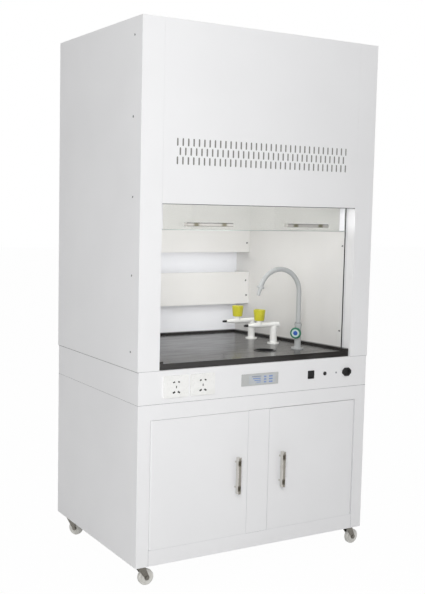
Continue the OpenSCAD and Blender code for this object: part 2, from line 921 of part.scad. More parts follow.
// A fitting's flange in its seat, its shank through the worktop and the nut below
module service_base() {
    translate([0, 0, -seat_d]) cylinder(r = service_flange_r, h = service_flange_h + seat_d);
    translate([0, 0, -worktop_t - shank_len])
        cylinder(r = shank_r, h = worktop_t + shank_len + service_flange_h);
    translate([0, 0, -worktop_t - nut_h]) cylinder(r = nut_r, h = nut_h, $fn = 6);
}

module gas_valve() {
    rib = nozzle_len / (nozzle_ribs + 1);
    service_base();
    cylinder(r = valve_r, h = arm_z - arm_r);
    translate([0, 0, arm_z - arm_r]) cylinder(r1 = valve_r, r2 = arm_r - 1, h = arm_r);
    translate([arm_over, 0, arm_z]) rotate([0, -90, 0]) {
        cylinder(r = arm_r, h = arm_over + knob_x + arm_r);
        translate([0, 0, arm_over + knob_x + arm_r])
            cylinder(r1 = arm_r, r2 = arm_end_r, h = arm_len - nozzle_len - knob_x - arm_r);
        cylinder(r = nozzle_r, h = arm_over + arm_len);
        for (i = [0 : nozzle_ribs - 1])
            translate([0, 0, arm_over + arm_len - nozzle_len + (i + 0.5) * rib])
                cylinder(r1 = nozzle_rib_r, r2 = nozzle_r, h = rib * 0.8);
    }
    translate([-knob_x, 0, arm_z])
        cylinder(r1 = bonnet_base_r, r2 = bonnet_r, h = knob_z - arm_z);
    translate([-knob_x, 0, arm_z]) cylinder(r = spindle_r, h = knob_z - arm_z + spindle_len);
}

module gas_valves() {
    color(white) for (i = [0, 1])
        translate([valve_x, valve_y - i * valve_pitch, work_z]) gas_valve();
}

// A fluted knob that widens upwards
module gas_knob() {
    color("#e3d32c") translate([-knob_x, 0, knob_z + face_gap]) difference() {
        union() {
            cylinder(r1 = knob_r - knob_taper, r2 = knob_r, h = knob_h - 3);
            translate([0, 0, knob_h - 3]) cylinder(r1 = knob_r, r2 = knob_r - 3, h = 3);
        }
        for (i = [0 : knob_flutes - 1])
            rotate([0, 0, i * 360 / knob_flutes]) translate([knob_r + flute_r * 0.45, 0, 8])
                cylinder(r = flute_r, h = knob_h);
        translate([0, 0, -cut])
            cylinder(r = spindle_r + run_fit, h = spindle_len + cut + 1);
    }
}

module gas_knob_rear() {
    translate([valve_x, valve_y, work_z]) gas_knob();
}

module gas_knob_front() {
    translate([valve_x, valve_y - valve_pitch, work_z]) gas_knob();
}

// Places a child on the water valve's axis, with +Z pointing out of the column
module on_water_axis() {
    translate([faucet_x, faucet_y, work_z + water_z])
        rotate([0, 0, -water_yaw]) rotate([90, 0, 0]) children();
}

module faucet_column() {
    color(grey) {
        difference() {
            translate([faucet_x, faucet_y, work_z]) {
                service_base();
                cylinder(r = column_r, h = column_h);
                translate([0, 0, column_h - 12]) cylinder(r = column_r + 2, h = 8);
            }
            translate([faucet_x, faucet_y, work_z + column_h - socket_depth])
                cylinder(r = spout_r + run_fit, h = socket_depth + cut);
        }
        on_water_axis() {
            translate([0, 0, column_r - 3]) cylinder(r = water_r, h = water_out - column_r + 3);
            translate([0, 0, column_r - 3])
                cylinder(r = spindle_r, h = water_out - column_r + 3 + wheel_h - 4);
        }
    }
}

module faucet_handle() {
    rim = water_wheel_r;
    color("#3d8a66") on_water_axis() translate([0, 0, water_out + face_gap]) difference() {
        rotate_extrude() polygon([
            [0, 0], [rim - 7, 0], [rim - 2, 2], [rim, 6], [rim, wheel_h - 5],
            [rim - 2, wheel_h - 1], [rim - 6, wheel_h], [rim - 8, wheel_h - 2],
            [10, wheel_h - 2], [9, wheel_h], [0, wheel_h + 1]
        ]);
        translate([0, 0, -cut]) cylinder(r = spindle_r + run_fit, h = wheel_h - 3 + cut);
    }
}

module faucet_spout() {
    stem_z = column_h - socket_depth + face_gap;
    color(grey) translate([faucet_x, faucet_y, work_z]) {
        translate([0, 0, stem_z]) cylinder(r = spout_r, h = bend_z - stem_z);
        translate([-bend_r, 0, bend_z]) rotate([90, 0, 0]) {
            rotate_extrude(angle = bend_angle) translate([bend_r, 0]) circle(spout_r);
            rotate([0, 0, bend_angle]) translate([bend_r, 0, 0]) rotate([-90, 0, 0])
                difference() {
                    union() {
                        cylinder(r = collar_r, h = tip_collar_h);
                        cylinder(r1 = tip_top_r, r2 = tip_r, h = tip_len);
                    }
                    translate([0, 0, tip_collar_h]) cylinder(r = tip_r - tip_wall, h = tip_len);
                }
        }
    }
}

// Upper hood

// The right side panel, with its top and back edges folded in
module hood_side() {
    color(white) {
        span([hx - sheet, hx], [-hy + sheet, hy - sheet], [hood_z, under_roof]);
        span([hx - flange_w, hx - sheet], [-hy + post_outer + cut, hy - sheet],
             [under_roof - sheet, under_roof]);
        span([hx - flange_w, hx - sheet], [hy - 2 * sheet, hy - sheet],
             [work_z + cut, under_roof]);
    }
}

module hood_side_left() {
    mirror([1, 0, 0]) hood_side();
}

module hood_side_right() {
    hood_side();
}

module hood_back() {
    color(white) span([-hx, hx], [hy - sheet, hy], [hood_z, under_roof]);
}

module hood_top() {
    color(white) difference() {
        span([-hx, hx], [-hy, hy], [under_roof, roof_z]);
        translate([0, duct_y, under_roof - cut])
            cylinder(r = roof_hole_r, h = sheet + 2 * cut, $fn = 96);
    }
}

module slot() {
    straight = slot_h - slot_w;
    square([slot_w, straight], center = true);
    for (z = [-1, 1]) translate([0, z * straight / 2]) circle(d = slot_w, $fn = 24);
}

// Three rows of slots, the middle one a half pitch to the side and one slot short
module grille() {
    for (row = [-1, 0, 1]) {
        n = row == 0 ? slot_n - 1 : slot_n;
        for (i = [0 : n - 1])
            translate([(i - (n - 1) / 2) * slot_pitch, lintel_z + slot_z + row * slot_row_pitch])
                slot();
    }
}

module front_fascia() {
    fx = post_in - seam_gap;
    color(white) {
        stand_up(-hy, sheet) difference() {
            translate([-fx, lintel_z]) square([2 * fx, under_roof - lintel_z]);
            grille();
        }
        both_sides()
            span([fx - sheet, fx], [-hy + sheet, -hy + fascia_d], [lintel_z, under_roof]);
        span([-fx + sheet, fx - sheet], [-hy + sheet, -hy + lintel_d],
             [lintel_z, lintel_z + sheet]);
        span([-fx + sheet, fx - sheet], [-hy + sheet, -hy + fascia_d],
             [under_roof - sheet, under_roof]);
    }
}

// The right post: a folded channel that closes the corner
module post() {
    color(white) {
        span([post_in, hx], [-hy, -hy + sheet], [hood_z, under_roof]);
        span([post_in, post_in + sheet], [-hy, track_y0], [hood_z, under_roof]);
        span([post_in, post_in + post_lip], [track_y0 - sheet, track_y0], [hood_z, under_roof]);
        span([hx - 2 * sheet, hx - sheet], [-hy, -hy + post_outer], [hood_z, under_roof]);
    }
}

module post_left() {
    mirror([1, 0, 0]) post();
}

module post_right() {
    post();
}

module liner_sides() {
    front = post_in + track_d;
    color(liner_white) both_sides() translate([0, 0, work_z]) linear_extrude(chamber_h)
        polygon([
            [post_in, liner_y0], [front, liner_y0], [front, liner_y0 + liner_t],
            [post_in + liner_t, liner_y0 + liner_t], [liner_x1 + liner_t, liner_y1],
            [liner_x1, liner_y1]
        ]);
}

module liner_back() {
    x = liner_x1 + liner_t;
    color(liner_white) span([-x, x], [liner_y1, liner_y1 + liner_t], [work_z, ceiling_z]);
}

module liner_ceiling() {
    front = post_in + liner_t;
    back = liner_x1 + liner_t;
    color(liner_white) translate([0, 0, ceiling_z]) difference() {
        linear_extrude(liner_t) polygon([
            [-front, liner_y0], [front, liner_y0],
            [back, liner_y1 + liner_t], [-back, liner_y1 + liner_t]
        ]);
        translate([0, duct_y, -cut])
            cylinder(r = pipe_in, h = liner_t + 2 * cut, $fn = 96);
    }
}

// A baffle board with folded edges and end flanges that reach the back liner
module baffle(z, h) {
    x = liner_x(baffle_y) - baffle_side_gap;
    color(liner_white) {
        span([-x, x], [baffle_y, baffle_y + sheet], [z, z + h]);
        for (edge = [z, z + h - sheet])
            span([-baffle_flange_x, baffle_flange_x], [baffle_y, baffle_y + baffle_lip],
                 [edge, edge + sheet]);
        both_sides()
            span([baffle_flange_x - sheet, baffle_flange_x], [baffle_y, liner_y1], [z, z + h]);
    }
}

module baffle_upper() {
    baffle(baffle_up_z, baffle_up_h);
}

module baffle_middle() {
    baffle(baffle_mid_z, baffle_mid_h);
}

module chamber_lamp() {
    edge = (lamp_wide - lamp_narrow) / 2;
    side = lamp_deep - lamp_rim;
    color("white") translate([-lamp_half, liner_y0 + lamp_setback, ceiling_z - lamp_deep])
        rotate([90, 0, 90]) linear_extrude(2 * lamp_half) polygon([
            [edge, 0], [lamp_wide - edge, 0], [lamp_wide, side],
            [lamp_wide, lamp_deep], [0, lamp_deep], [0, side]
        ]);
}

module screw_head() {
    cylinder(r = screw_r, h = screw_h / 2);
    translate([0, 0, screw_h / 2]) cylinder(r1 = screw_r, r2 = screw_r * 0.6, h = screw_h / 2);
}

module panel_screws() {
    bx_screw = liner_x(baffle_y) - baffle_side_gap - baffle_screw_in;
    ly = liner_y0 + liner_screw_in;
    color(steel) both_sides() {
        for (i = [0 : screw_n - 1]) {
            translate([hx, screw_y, screw_z0 + i * screw_pitch]) rotate([0, 90, 0]) screw_head();
            translate([back_screw_x, hy, screw_z0 + i * screw_pitch])
                rotate([-90, 0, 0]) screw_head();
        }
        for (z = [baffle_up_z + baffle_screw_edge, baffle_mid_z + baffle_screw_edge,
                  baffle_mid_z + baffle_mid_h - baffle_screw_edge])
            translate([bx_screw, baffle_y, z]) rotate([90, 0, 0]) screw_head();
        for (z = liner_screw_z)
            translate([liner_x(ly), ly, z]) rotate([0, 0, taper_angle]) rotate([0, -90, 0])
                screw_head();
    }
}

// Sash and its counterbalance

module sash_tracks() {
    groove = glass_t / 2 + glass_gap;
    color(grey) both_sides() difference() {
        span([post_in, post_in + track_d], [track_y0, track_y1], [work_z, pulley_z - 40]);
        span([post_in - cut, post_in + groove_d], [glass_y - groove, glass_y + groove],
             [work_z - cut, pulley_z]);
    }
}

module sash_glass() {
    color("#b8c8c8", 0.35)
        span([-glass_x, glass_x], [glass_y - glass_t / 2, glass_y + glass_t / 2],
             [sash_z, sash_top]);
}

module sash_rail() {
    color(steel) difference() {
        span([-rail_x, rail_x], [glass_y - rail_front, glass_y + glass_t / 2 + rail_wall],
             [sash_top + rail_cover - rail_h, sash_top + rail_cover]);
        span([-rail_x - cut, rail_x + cut], [glass_y - glass_t / 2, glass_y + glass_t / 2],
             [sash_top - rail_h, sash_top]);
    }
}

module sash_handles() {
    z = sash_z + sash_handle_z;
    color(steel) both_sides()
        translate([sash_handle_x, glass_y - glass_t / 2, z]) rotate([0, 90, 0])
            pull_handle(sash_handle_len, sash_handle_pitch, sash_handle_stand);
}

// Cable runs from the sash rail up to the pulleys
module sash_cables() {
    z0 = sash_top + rail_cover;
    color(dark_steel) both_sides() translate([cable_x, glass_y, z0])
        cylinder(r = cable_r, h = pulley_z - z0, $fn = 16);
}

// Cable runs from the pulleys down to the counterweights
module weight_cables() {
    color(dark_steel) both_sides() translate([weight_x, glass_y, weight_top])
        cylinder(r = cable_r, h = pulley_z - weight_top, $fn = 16);
}

// The half turns of cable that lie on the pulleys
module cable_wraps() {
    color(dark_steel) both_sides() translate([pulley_x, glass_y, pulley_z]) rotate([90, 0, 0])
        rotate_extrude(angle = 180) translate([pulley_r, 0]) circle(cable_r, $fn = 16);
}

module pulley() {
    w = pulley_w / 2;
    floor_w = cable_r + face_gap;
    floor_r = pulley_r - cable_r - face_gap;
    rim_r = pulley_r + pulley_rim;
    color(dark_steel) translate([pulley_x, glass_y, pulley_z]) rotate([90, 0, 0])
        rotate_extrude() polygon([
            [pulley_axle_r + run_fit, -w], [rim_r, -w], [rim_r, -w + 1], [floor_r, -floor_w],
            [floor_r, floor_w], [rim_r, w - 1], [rim_r, w], [pulley_axle_r + run_fit, w]
        ]);
}

module pulley_left() {
    mirror([1, 0, 0]) pulley();
}

module pulley_right() {
    pulley();
}

module pulley_brackets() {
    inner = pulley_w / 2 + cheek_gap;
    color(steel) both_sides() {
        span([pulley_x - hanger_w / 2, pulley_x + hanger_w / 2],
             [glass_y - inner - cheek_t, glass_y + inner + cheek_t],
             [under_roof - hanger_t, under_roof]);
        for (y = [glass_y - inner - cheek_t, glass_y + inner])
            span([pulley_x - cheek_w / 2, pulley_x + cheek_w / 2], [y, y + cheek_t],
                 [pulley_z - cheek_below, under_roof]);
        bar_y(pulley_axle_r, pulley_x, pulley_z,
              [glass_y - inner - cheek_t - 2, glass_y + inner + cheek_t + 2]);
    }
}

module counterweights() {
    color(dark_steel) both_sides()
        span([weight_x - weight_w / 2, weight_x + weight_w / 2],
             [glass_y - weight_d / 2, glass_y + weight_d / 2],
             [weight_top - weight_h, weight_top]);
}

// Exhaust

// Duct from the chamber's ceiling through the roof, with the fan motor on struts inside
module exhaust_duct() {
    z0 = ceiling_z + liner_t;
    color(steel) translate([0, duct_y, 0]) {
        difference() {
            union() {
                translate([0, 0, z0]) cylinder(r = pipe_r, h = roof_z + collar_h - z0, $fn = 96);
                translate([0, 0, roof_z]) cylinder(r = duct_r, h = collar_h, $fn = 96);
                translate([0, 0, z0])
                    cylinder(r = pipe_r + duct_flange, h = duct_flange_t, $fn = 96);
            }
            translate([0, 0, z0 - cut])
                cylinder(r = pipe_in, h = roof_z + collar_h - z0 + 2 * cut, $fn = 96);
        }
        translate([0, 0, motor_z]) cylinder(r = motor_r, h = motor_h);
        translate([0, 0, motor_z - hub_gap - hub_h]) cylinder(r = shaft_r, h = hub_h + hub_gap + cut);
        for (a = [45 : 90 : 315]) rotate([0, 0, a])
            span([motor_r - 3, pipe_r - sheet / 2], [-strut_t / 2, strut_t / 2],
                 [motor_z + strut_rise, motor_z + strut_rise + strut_h]);
    }
}

module fan_impeller() {
    z = motor_z - hub_gap - hub_h;
    reach = pipe_in - tip_gap;
    color(black) translate([0, duct_y, z]) difference() {
        union() {
            cylinder(r = hub_r, h = hub_h);
            for (i = [0 : blade_n - 1])
                rotate([0, 0, i * 360 / blade_n]) translate([0, 0, hub_h / 2])
                    rotate([blade_pitch, 0, 0])
                        span([hub_r - 6, reach - 3], [-blade_w / 2, blade_w / 2],
                             [-blade_t / 2, blade_t / 2]);
        }
        translate([0, 0, -cut]) cylinder(r = shaft_r + run_fit, h = hub_h + 2 * cut);
    }
}

base_carcass();
base_front_frame();
door_pivot_pins();
castor_plates();
castor_fork_fl();
castor_fork_fr();
castor_fork_rl();
castor_fork_rr();
castor_wheel_fl();
castor_wheel_fr();
castor_wheel_rl();
castor_wheel_rr();
door_left();
door_right();
door_handle_left();
door_handle_right();
band_shell();
control_fascia();
power_sockets();
display_panel();
switch_housings();
switch_rocker();
push_button();
power_inlet();
worktop();
cup_sink();
sink_trap();
gas_valves();
gas_knob_rear();
gas_knob_front();
faucet_column();
faucet_spout();
faucet_handle();
hood_side_left();
hood_side_right();
hood_back();
hood_top();
front_fascia();
post_left();
post_right();
liner_sides();
liner_back();
liner_ceiling();
baffle_upper();
baffle_middle();
chamber_lamp();
panel_screws();
sash_tracks();
sash_glass();
sash_rail();
sash_handles();
sash_cables();
weight_cables();
cable_wraps();
pulley_left();
pulley_right();
pulley_brackets();
counterweights();
exhaust_duct();
fan_impeller();
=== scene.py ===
"""Finishes, small trim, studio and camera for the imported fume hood.

Everything is in metres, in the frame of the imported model: X right, Y back, Z up.
"""

import json
import math

import bmesh
import bpy
from mathutils import Matrix, Vector


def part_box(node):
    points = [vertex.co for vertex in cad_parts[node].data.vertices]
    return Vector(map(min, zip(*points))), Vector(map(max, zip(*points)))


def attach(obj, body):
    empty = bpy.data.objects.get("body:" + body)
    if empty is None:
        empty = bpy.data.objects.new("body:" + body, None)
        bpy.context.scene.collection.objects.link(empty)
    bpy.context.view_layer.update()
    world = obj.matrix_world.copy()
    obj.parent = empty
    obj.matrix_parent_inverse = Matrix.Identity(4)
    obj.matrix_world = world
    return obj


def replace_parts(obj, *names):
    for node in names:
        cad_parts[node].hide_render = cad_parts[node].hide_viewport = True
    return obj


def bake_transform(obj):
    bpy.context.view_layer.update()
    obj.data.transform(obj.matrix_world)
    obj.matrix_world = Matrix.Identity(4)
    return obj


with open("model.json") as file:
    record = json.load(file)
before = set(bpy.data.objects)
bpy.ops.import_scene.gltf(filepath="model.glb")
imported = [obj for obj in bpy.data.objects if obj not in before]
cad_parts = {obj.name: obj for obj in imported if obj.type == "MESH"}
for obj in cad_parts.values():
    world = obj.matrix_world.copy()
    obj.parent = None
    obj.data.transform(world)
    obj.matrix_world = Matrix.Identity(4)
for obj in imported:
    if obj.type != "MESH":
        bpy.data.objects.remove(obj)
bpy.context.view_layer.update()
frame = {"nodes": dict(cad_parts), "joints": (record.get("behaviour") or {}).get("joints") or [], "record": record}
NODES = frame["nodes"]
SCENE = bpy.context.scene
MM = 0.001
FRONT, BACK = Vector((0, -1, 0)), Vector((0, 1, 0))
DOWN, UP = Vector((0, 0, -1)), Vector((0, 0, 1))


def middle(node):
    """The centre of a CAD node's box."""
    lo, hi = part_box(node)
    return (lo + hi) / 2


def joint(name):
    """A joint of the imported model."""
    return next(j for j in frame["joints"] if j["name"] == name)


def around(value, half):
    """The span of so much to either side of a value."""
    return value - half, value + half


def both_sides(one, other):
    """The left and the right span of x between two distances from the middle."""
    near, far = sorted((one, other))
    return (-far, -near), (near, far)


# Materials

def rgb(code):
    """A #rrggbb colour as Blender's linear red, green, blue and alpha (the sRGB curve)."""
    parts = [int(code[i:i + 2], 16) / 255 for i in (1, 3, 5)]
    linear = [c / 12.92 if c <= 0.04045 else ((c + 0.055) / 1.055) ** 2.4 for c in parts]
    return (*linear, 1.0)


class Finish:
    """A Principled material and the nodes that give it its detail."""

    def __init__(self, name, color, rough, **sockets):
        self.material = bpy.data.materials.new(name)
        self.material.use_nodes = True
        self.tree = self.material.node_tree
        self.shader = self.tree.nodes["Principled BSDF"]
        self.place = self.tree.nodes.new("ShaderNodeTexCoord").outputs["Object"]
        self.color = rgb(color)
        self.shader.inputs["Base Color"].default_value = self.color
        self.shader.inputs["Roughness"].default_value = rough
        for key, value in sockets.items():
            self.shader.inputs[key.replace("_", " ")].default_value = value

    def node(self, kind, **settings):
        """A new shader node with its settings."""
        made = self.tree.nodes.new("ShaderNode" + kind)
        for key, value in settings.items():
            setattr(made, key, value)
        return made

    def join(self, source, socket):
        self.tree.links.new(source, socket)

    def math(self, operation, a, b=0.0):
        """A sum on two values, each a number or another node's output."""
        made = self.node("Math", operation=operation)
        for socket, value in zip(made.inputs, (a, b)):
            if isinstance(value, (int, float)):
                socket.default_value = value
            else:
                self.join(value, socket)
        return made.outputs[0]

    def vector(self, operation, a, b=None):
        """The outputs of a sum on a vector, with a second, fixed vector where one is needed."""
        made = self.node("VectorMath", operation=operation)
        self.join(a, made.inputs[0])
        if b is not None:
            made.inputs[1].default_value = b
        return made.outputs

    def noise(self, scale, detail=2.0, stretch=(1, 1, 1)):
        """Noise with so many cells to the metre, drawn out along an axis by a small stretch."""
        mapping = self.node("Mapping")
        mapping.inputs["Scale"].default_value = [scale * s for s in stretch]
        self.join(self.place, mapping.inputs["Vector"])
        made = self.node("TexNoise")
        made.inputs["Scale"].default_value = 1.0
        made.inputs["Detail"].default_value = detail
        self.join(mapping.outputs[0], made.inputs["Vector"])
        return made.outputs["Fac"]

    def between(self, value, low, high, to_low=0.0, to_high=1.0):
        """Maps the values from low to high onto another range, and clamps the rest."""
        made = self.node("MapRange", clamp=True)
        self.join(value, made.inputs["Value"])
        for key, number in (("From Min", low), ("From Max", high), ("To Min", to_low), ("To Max", to_high)):
            made.inputs[key].default_value = number
        return made.outputs[0]

    def axis(self, letter):
        """One coordinate of the surface point, in metres."""
        split = self.node("SeparateXYZ")
        self.join(self.place, split.inputs[0])
        return split.outputs[letter]

    def paint(self, mask, code):
        """Lays another colour over what is there, where the mask is 1."""
        made = self.node("Mix", data_type="RGBA")
        self.join(mask, made.inputs["Factor"])
        base = self.shader.inputs["Base Color"]
        if base.is_linked:
            self.join(base.links[0].from_socket, made.inputs["A"])
        else:
            made.inputs["A"].default_value = self.color
        made.inputs["B"].default_value = rgb(code)
        self.join(made.outputs["Result"], base)
        return self

    def rough(self, value, low, high, to_low, to_high):
        """Lets the roughness follow a value."""
        self.join(self.between(value, low, high, to_low, to_high), self.shader.inputs["Roughness"])
        return self

    def bump(self, height, depth, strength):
        """Relief of so many metres from the heights 0 to 1."""
        made = self.node("Bump")
        made.inputs["Strength"].default_value = strength
        made.inputs["Distance"].default_value = depth
        self.join(height, made.inputs["Height"])
        normal = self.shader.inputs["Normal"]
        if normal.is_linked:
            self.join(normal.links[0].from_socket, made.inputs["Normal"])
        self.join(made.outputs[0], normal)
        return self


def powder_coat(name, color, shade, rough):
    """Oven-cured powder paint: a fine orange peel and a hardly visible drift in tone."""
    coat = Finish(name, color, rough, IOR=1.5)
    drift = coat.noise(scale=1.7, detail=3.0)
    coat.paint(coat.between(drift, low=0.35, high=0.75), shade)
    patches = coat.noise(scale=9.0, detail=3.0)
    coat.rough(patches, low=0.3, high=0.7, to_low=rough - 0.05, to_high=rough + 0.06)
    orange_peel = coat.noise(scale=420.0, detail=1.5)
    return coat.bump(orange_peel, depth=0.03 * MM, strength=0.35)


def moulded(name, color, shade, rough, grain=0.04 * MM):
    """Moulded plastic with a fine grain."""
    plastic = Finish(name, color, rough, IOR=1.47)
    drift = plastic.noise(scale=35.0, detail=3.0)
    plastic.paint(plastic.between(drift, low=0.4, high=0.8), shade)
    patches = plastic.noise(scale=120.0)
    plastic.rough(patches, low=0.3, high=0.7, to_low=rough - 0.06, to_high=rough + 0.08)
    return plastic.bump(plastic.noise(scale=1400.0), depth=grain, strength=0.3)


def metal(name, color, shade, rough, stretch=(1, 1, 1)):
    """Bare metal with faint marks drawn along an axis."""
    bare = Finish(name, color, rough, Metallic=1.0)
    streak = bare.noise(scale=260.0, detail=4.0, stretch=stretch)
    bare.paint(bare.between(streak, low=0.35, high=0.75), shade)
    bare.rough(streak, low=0.3, high=0.7, to_low=max(rough - 0.05, 0.03), to_high=rough + 0.08)
    return bare.bump(streak, depth=0.01 * MM, strength=0.3)


def worktop_board():
    """Black phenolic board: fine streaks along its width and an uneven shine."""
    board = Finish("black_worktop", "#2a2827", 0.2, IOR=1.5)
    streak = board.noise(scale=42.0, detail=5.0, stretch=(0.12, 1, 1))
    board.paint(board.between(streak, low=0.42, high=0.7), "#383635")
    speck = board.noise(scale=520.0)
    board.paint(board.between(speck, low=0.62, high=0.72), "#1f1d1c")
    board.rough(streak, low=0.3, high=0.7, to_low=0.14, to_high=0.26)
    return board.bump(board.noise(scale=300.0, detail=3.0), depth=0.04 * MM, strength=0.4)


def liner_board(name, color, drift_color, speck_color):
    """Laminate with a very fine speckle."""
    board = Finish(name, color, 0.4, IOR=1.48)
    drift = board.noise(scale=2.2, detail=3.0)
    board.paint(board.between(drift, low=0.3, high=0.8), drift_color)
    speck = board.noise(scale=900.0)
    board.paint(board.between(speck, low=0.6, high=0.75), speck_color)
    patches = board.noise(scale=14.0, detail=3.0)
    board.rough(patches, low=0.3, high=0.7, to_low=0.34, to_high=0.46)
    return board.bump(board.noise(scale=1100.0), depth=0.02 * MM, strength=0.3)


def sash_pane():
    """Clear float glass, a little green, with the faintest smear."""
    pane = Finish("clear_glass", "#f0f3f0", 0.03, IOR=1.5, Transmission_Weight=1.0, Alpha=0.45)
    smear = pane.noise(scale=6.0, detail=4.0)
    return pane.rough(smear, low=0.4, high=0.8, to_low=0.01, to_high=0.06)


def chrome_bar(name, along, centres, shaded_side, shaded_line_side, shine, standoff_reflection):
    """Polished chrome with painted reflections and shade: dark patches painted where it would mirror its
    standoffs, one side painted dark, and a thin grey line painted opposite.
    """
    reflection_half = 13 * MM
    bar = metal(name, "#dddbd6", "#cfccc5", 0.12, (0.2, 0.2, 0.2))
    bar.shader.inputs["Metallic"].default_value = shine
    normal = bar.node("NewGeometry").outputs["Normal"]

    def turned_to(side):
        return bar.vector("DOT_PRODUCT", normal, side)["Value"]

    # Painted shade and reflection: faces turned to one side are painted darker, faces turned the other way get a
    # thin grey line
    bar.paint(bar.between(turned_to(shaded_side), low=0.45, high=0.8, to_high=0.85), "#7f7a72")
    bar.paint(bar.between(turned_to(shaded_line_side), low=0.1, high=0.5, to_high=0.7), "#85838a")
    front = bar.between(turned_to(FRONT), low=0.1, high=0.5, to_high=0.9)
    place = bar.math("ABSOLUTE", bar.axis(along)) if along == "X" else bar.axis(along)
    # Painted reflection: dark patches on the front faces near each standoff, where the chrome would mirror it
    for centre in centres:
        away = bar.math("ABSOLUTE", bar.math("SUBTRACT", place, centre))
        near = bar.between(away, 0.5 * reflection_half, 1.3 * reflection_half, to_low=1.0, to_high=0.0)
        bar.paint(bar.math("MULTIPLY", near, front), standoff_reflection)
    return bar


def sash_track():
    """Pale painted channel, painted near black in the groove that guides the glass, as painted shade for the
    groove.
    """
    play = 0.95 * MM
    track = powder_coat("pale_track", "#e4e4e6", "#dedee0", 0.4)
    lo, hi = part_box("sash_glass")
    away = track.math("ABSOLUTE", track.math("SUBTRACT", track.axis("Y"), (lo.y + hi.y) / 2))
    # Painted shade: the groove round the glass is painted near black
    return track.paint(track.math("LESS_THAN", away, (hi.y - lo.y) / 2 + play), "#2b2b2c")


def gas_enamel():
    """White enamel on the gas taps, with black hose nozzles."""
    nozzle_length = 20 * MM
    enamel = powder_coat("white_epoxy", "#f6f6f4", "#efefec", 0.28)
    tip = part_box("gas_valves")[0].x
    return enamel.paint(enamel.math("LESS_THAN", enamel.axis("X"), tip + nozzle_length), "#161616")


def hand_wheel():
    """Green hand wheel with a pale face and a blue button round its axis."""
    face_radius, button_radius = 18 * MM, 10.5 * MM
    plastic = moulded("green_plastic", "#2f7a5c", "#2a6c52", 0.34)
    turn = joint("water_turn")
    offset = plastic.vector("SUBTRACT", plastic.place, turn["pos_m"])["Vector"]
    across = plastic.vector("CROSS_PRODUCT", offset, turn["axis"])["Vector"]
    radius = plastic.vector("LENGTH", across)["Value"]
    plastic.paint(plastic.math("LESS_THAN", radius, face_radius), "#c3d6d2")
    return plastic.paint(plastic.math("LESS_THAN", radius, button_radius), "#2b54a8")


# Finish of each material slot: colour, the tone it drifts to, and roughness
FINISHES = {
    "white_paint": powder_coat("white_paint", "#f0f0f1", "#ebebec", 0.42),
    "liner_board": liner_board("liner_board", "#ecebe9", "#e7e6e3", "#e0dedb"),
    "bright_chrome": metal("bright_chrome", "#cfcdc8", "#bfbcb5", 0.12, (1, 1, 0.1)),
    "zinc_steel": metal("zinc_steel", "#b4b7bb", "#9a9da2", 0.32),
    "dark_zinc": metal("dark_zinc", "#85827b", "#68655f", 0.34),
    "pale_nylon": moulded("pale_nylon", "#dad9d4", "#cac8c1", 0.42),
    "black_plastic": moulded("black_plastic", "#1c1c1d", "#262627", 0.42),
    "white_plastic": moulded("white_plastic", "#f4f4f2", "#eeeeeb", 0.3),
    "grey_plastic": moulded("grey_plastic", "#bfc0bf", "#b7b9b9", 0.35),
    "lamp_cover": moulded("lamp_cover", "#f7f8f6", "#f1f3f1", 0.3),
    "black_worktop": worktop_board(),
    "white_epoxy": gas_enamel(),
    "yellow_plastic": moulded("yellow_plastic", "#cbc63a", "#c0ba33", 0.34),
    "grey_epoxy": powder_coat("grey_epoxy", "#b9bbbb", "#b0b3b3", 0.26),
    "green_plastic": hand_wheel(),
    "pale_track": sash_track(),
    "clear_glass": sash_pane(),
    "bare_aluminium": metal("bare_aluminium", "#d3d5d8", "#c2c4c8", 0.3, (0.04, 1, 1)),
    "steel_cable": metal("steel_cable", "#85878a", "#65676a", 0.4),
    "cast_weight": moulded("cast_weight", "#3a3b3d", "#313234", 0.6, grain=0.2 * MM),
    "duct_paint": powder_coat("duct_paint", "#d9dbdb", "#cfd1d1", 0.4),
}
SLOT_OF = {part["node"]: part["material_slot"] for part in frame["record"]["subparts"]}

# Nodes whose finish differs from that of their slot
HANDLE_PITCH = 112 * MM
SASH_BAR = 228 * MM
SASH_STANDOFF = 0.3 * SASH_BAR
door_bar_z = middle("door_handle_left").z
sash_bar_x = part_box("sash_handles")[1].x - SASH_BAR / 2
door_chrome = chrome_bar("door_chrome", "Z", around(door_bar_z, HANDLE_PITCH / 2),
                         shaded_side=FRONT, shaded_line_side=BACK, shine=1.0, standoff_reflection="#453e33")
OWN_FINISH = {
    "door_handle_left": door_chrome,
    "door_handle_right": door_chrome,
    "sash_handles": chrome_bar("sash_chrome", "X", around(sash_bar_x, SASH_STANDOFF),
                               shaded_side=DOWN, shaded_line_side=UP, shine=0.5, standoff_reflection="#7d7a62"),
    # The side liners get a darker copy of the liner board as painted shade, the back liner a brighter, bluish copy
    # as painted light
    "liner_sides": liner_board("shaded_side_board", "#e5e4e2", "#e0dfdc", "#d9d7d4"),
    "hood_top": powder_coat("roof_paint", "#f0f0f1", "#ebebec", 0.62),
    "liner_back": liner_board("lit_back_board", "#fafbfe", "#f5f6fa", "#f0f1f5"),
}

# Radius that softens the edges of a CAD node, in millimetres
EDGE = {
    "white_paint": 0.6, "liner_board": 0.6, "white_plastic": 1.0, "grey_plastic": 0.8,
    "black_plastic": 0.6, "black_worktop": 1.2, "yellow_plastic": 1.2, "bright_chrome": 0.8,
    "cast_weight": 2.0, "lamp_cover": 2.0, "white_epoxy": 0.8, "grey_epoxy": 0.8,
    "dark_zinc": 0.5, "zinc_steel": 0.4, "pale_nylon": 0.6, "bare_aluminium": 0.6,
    "clear_glass": 0.4, "pale_track": 0.4, "duct_paint": 0.4, "green_plastic": 0.4,
}
SHARP_ANGLE = math.radians(35)


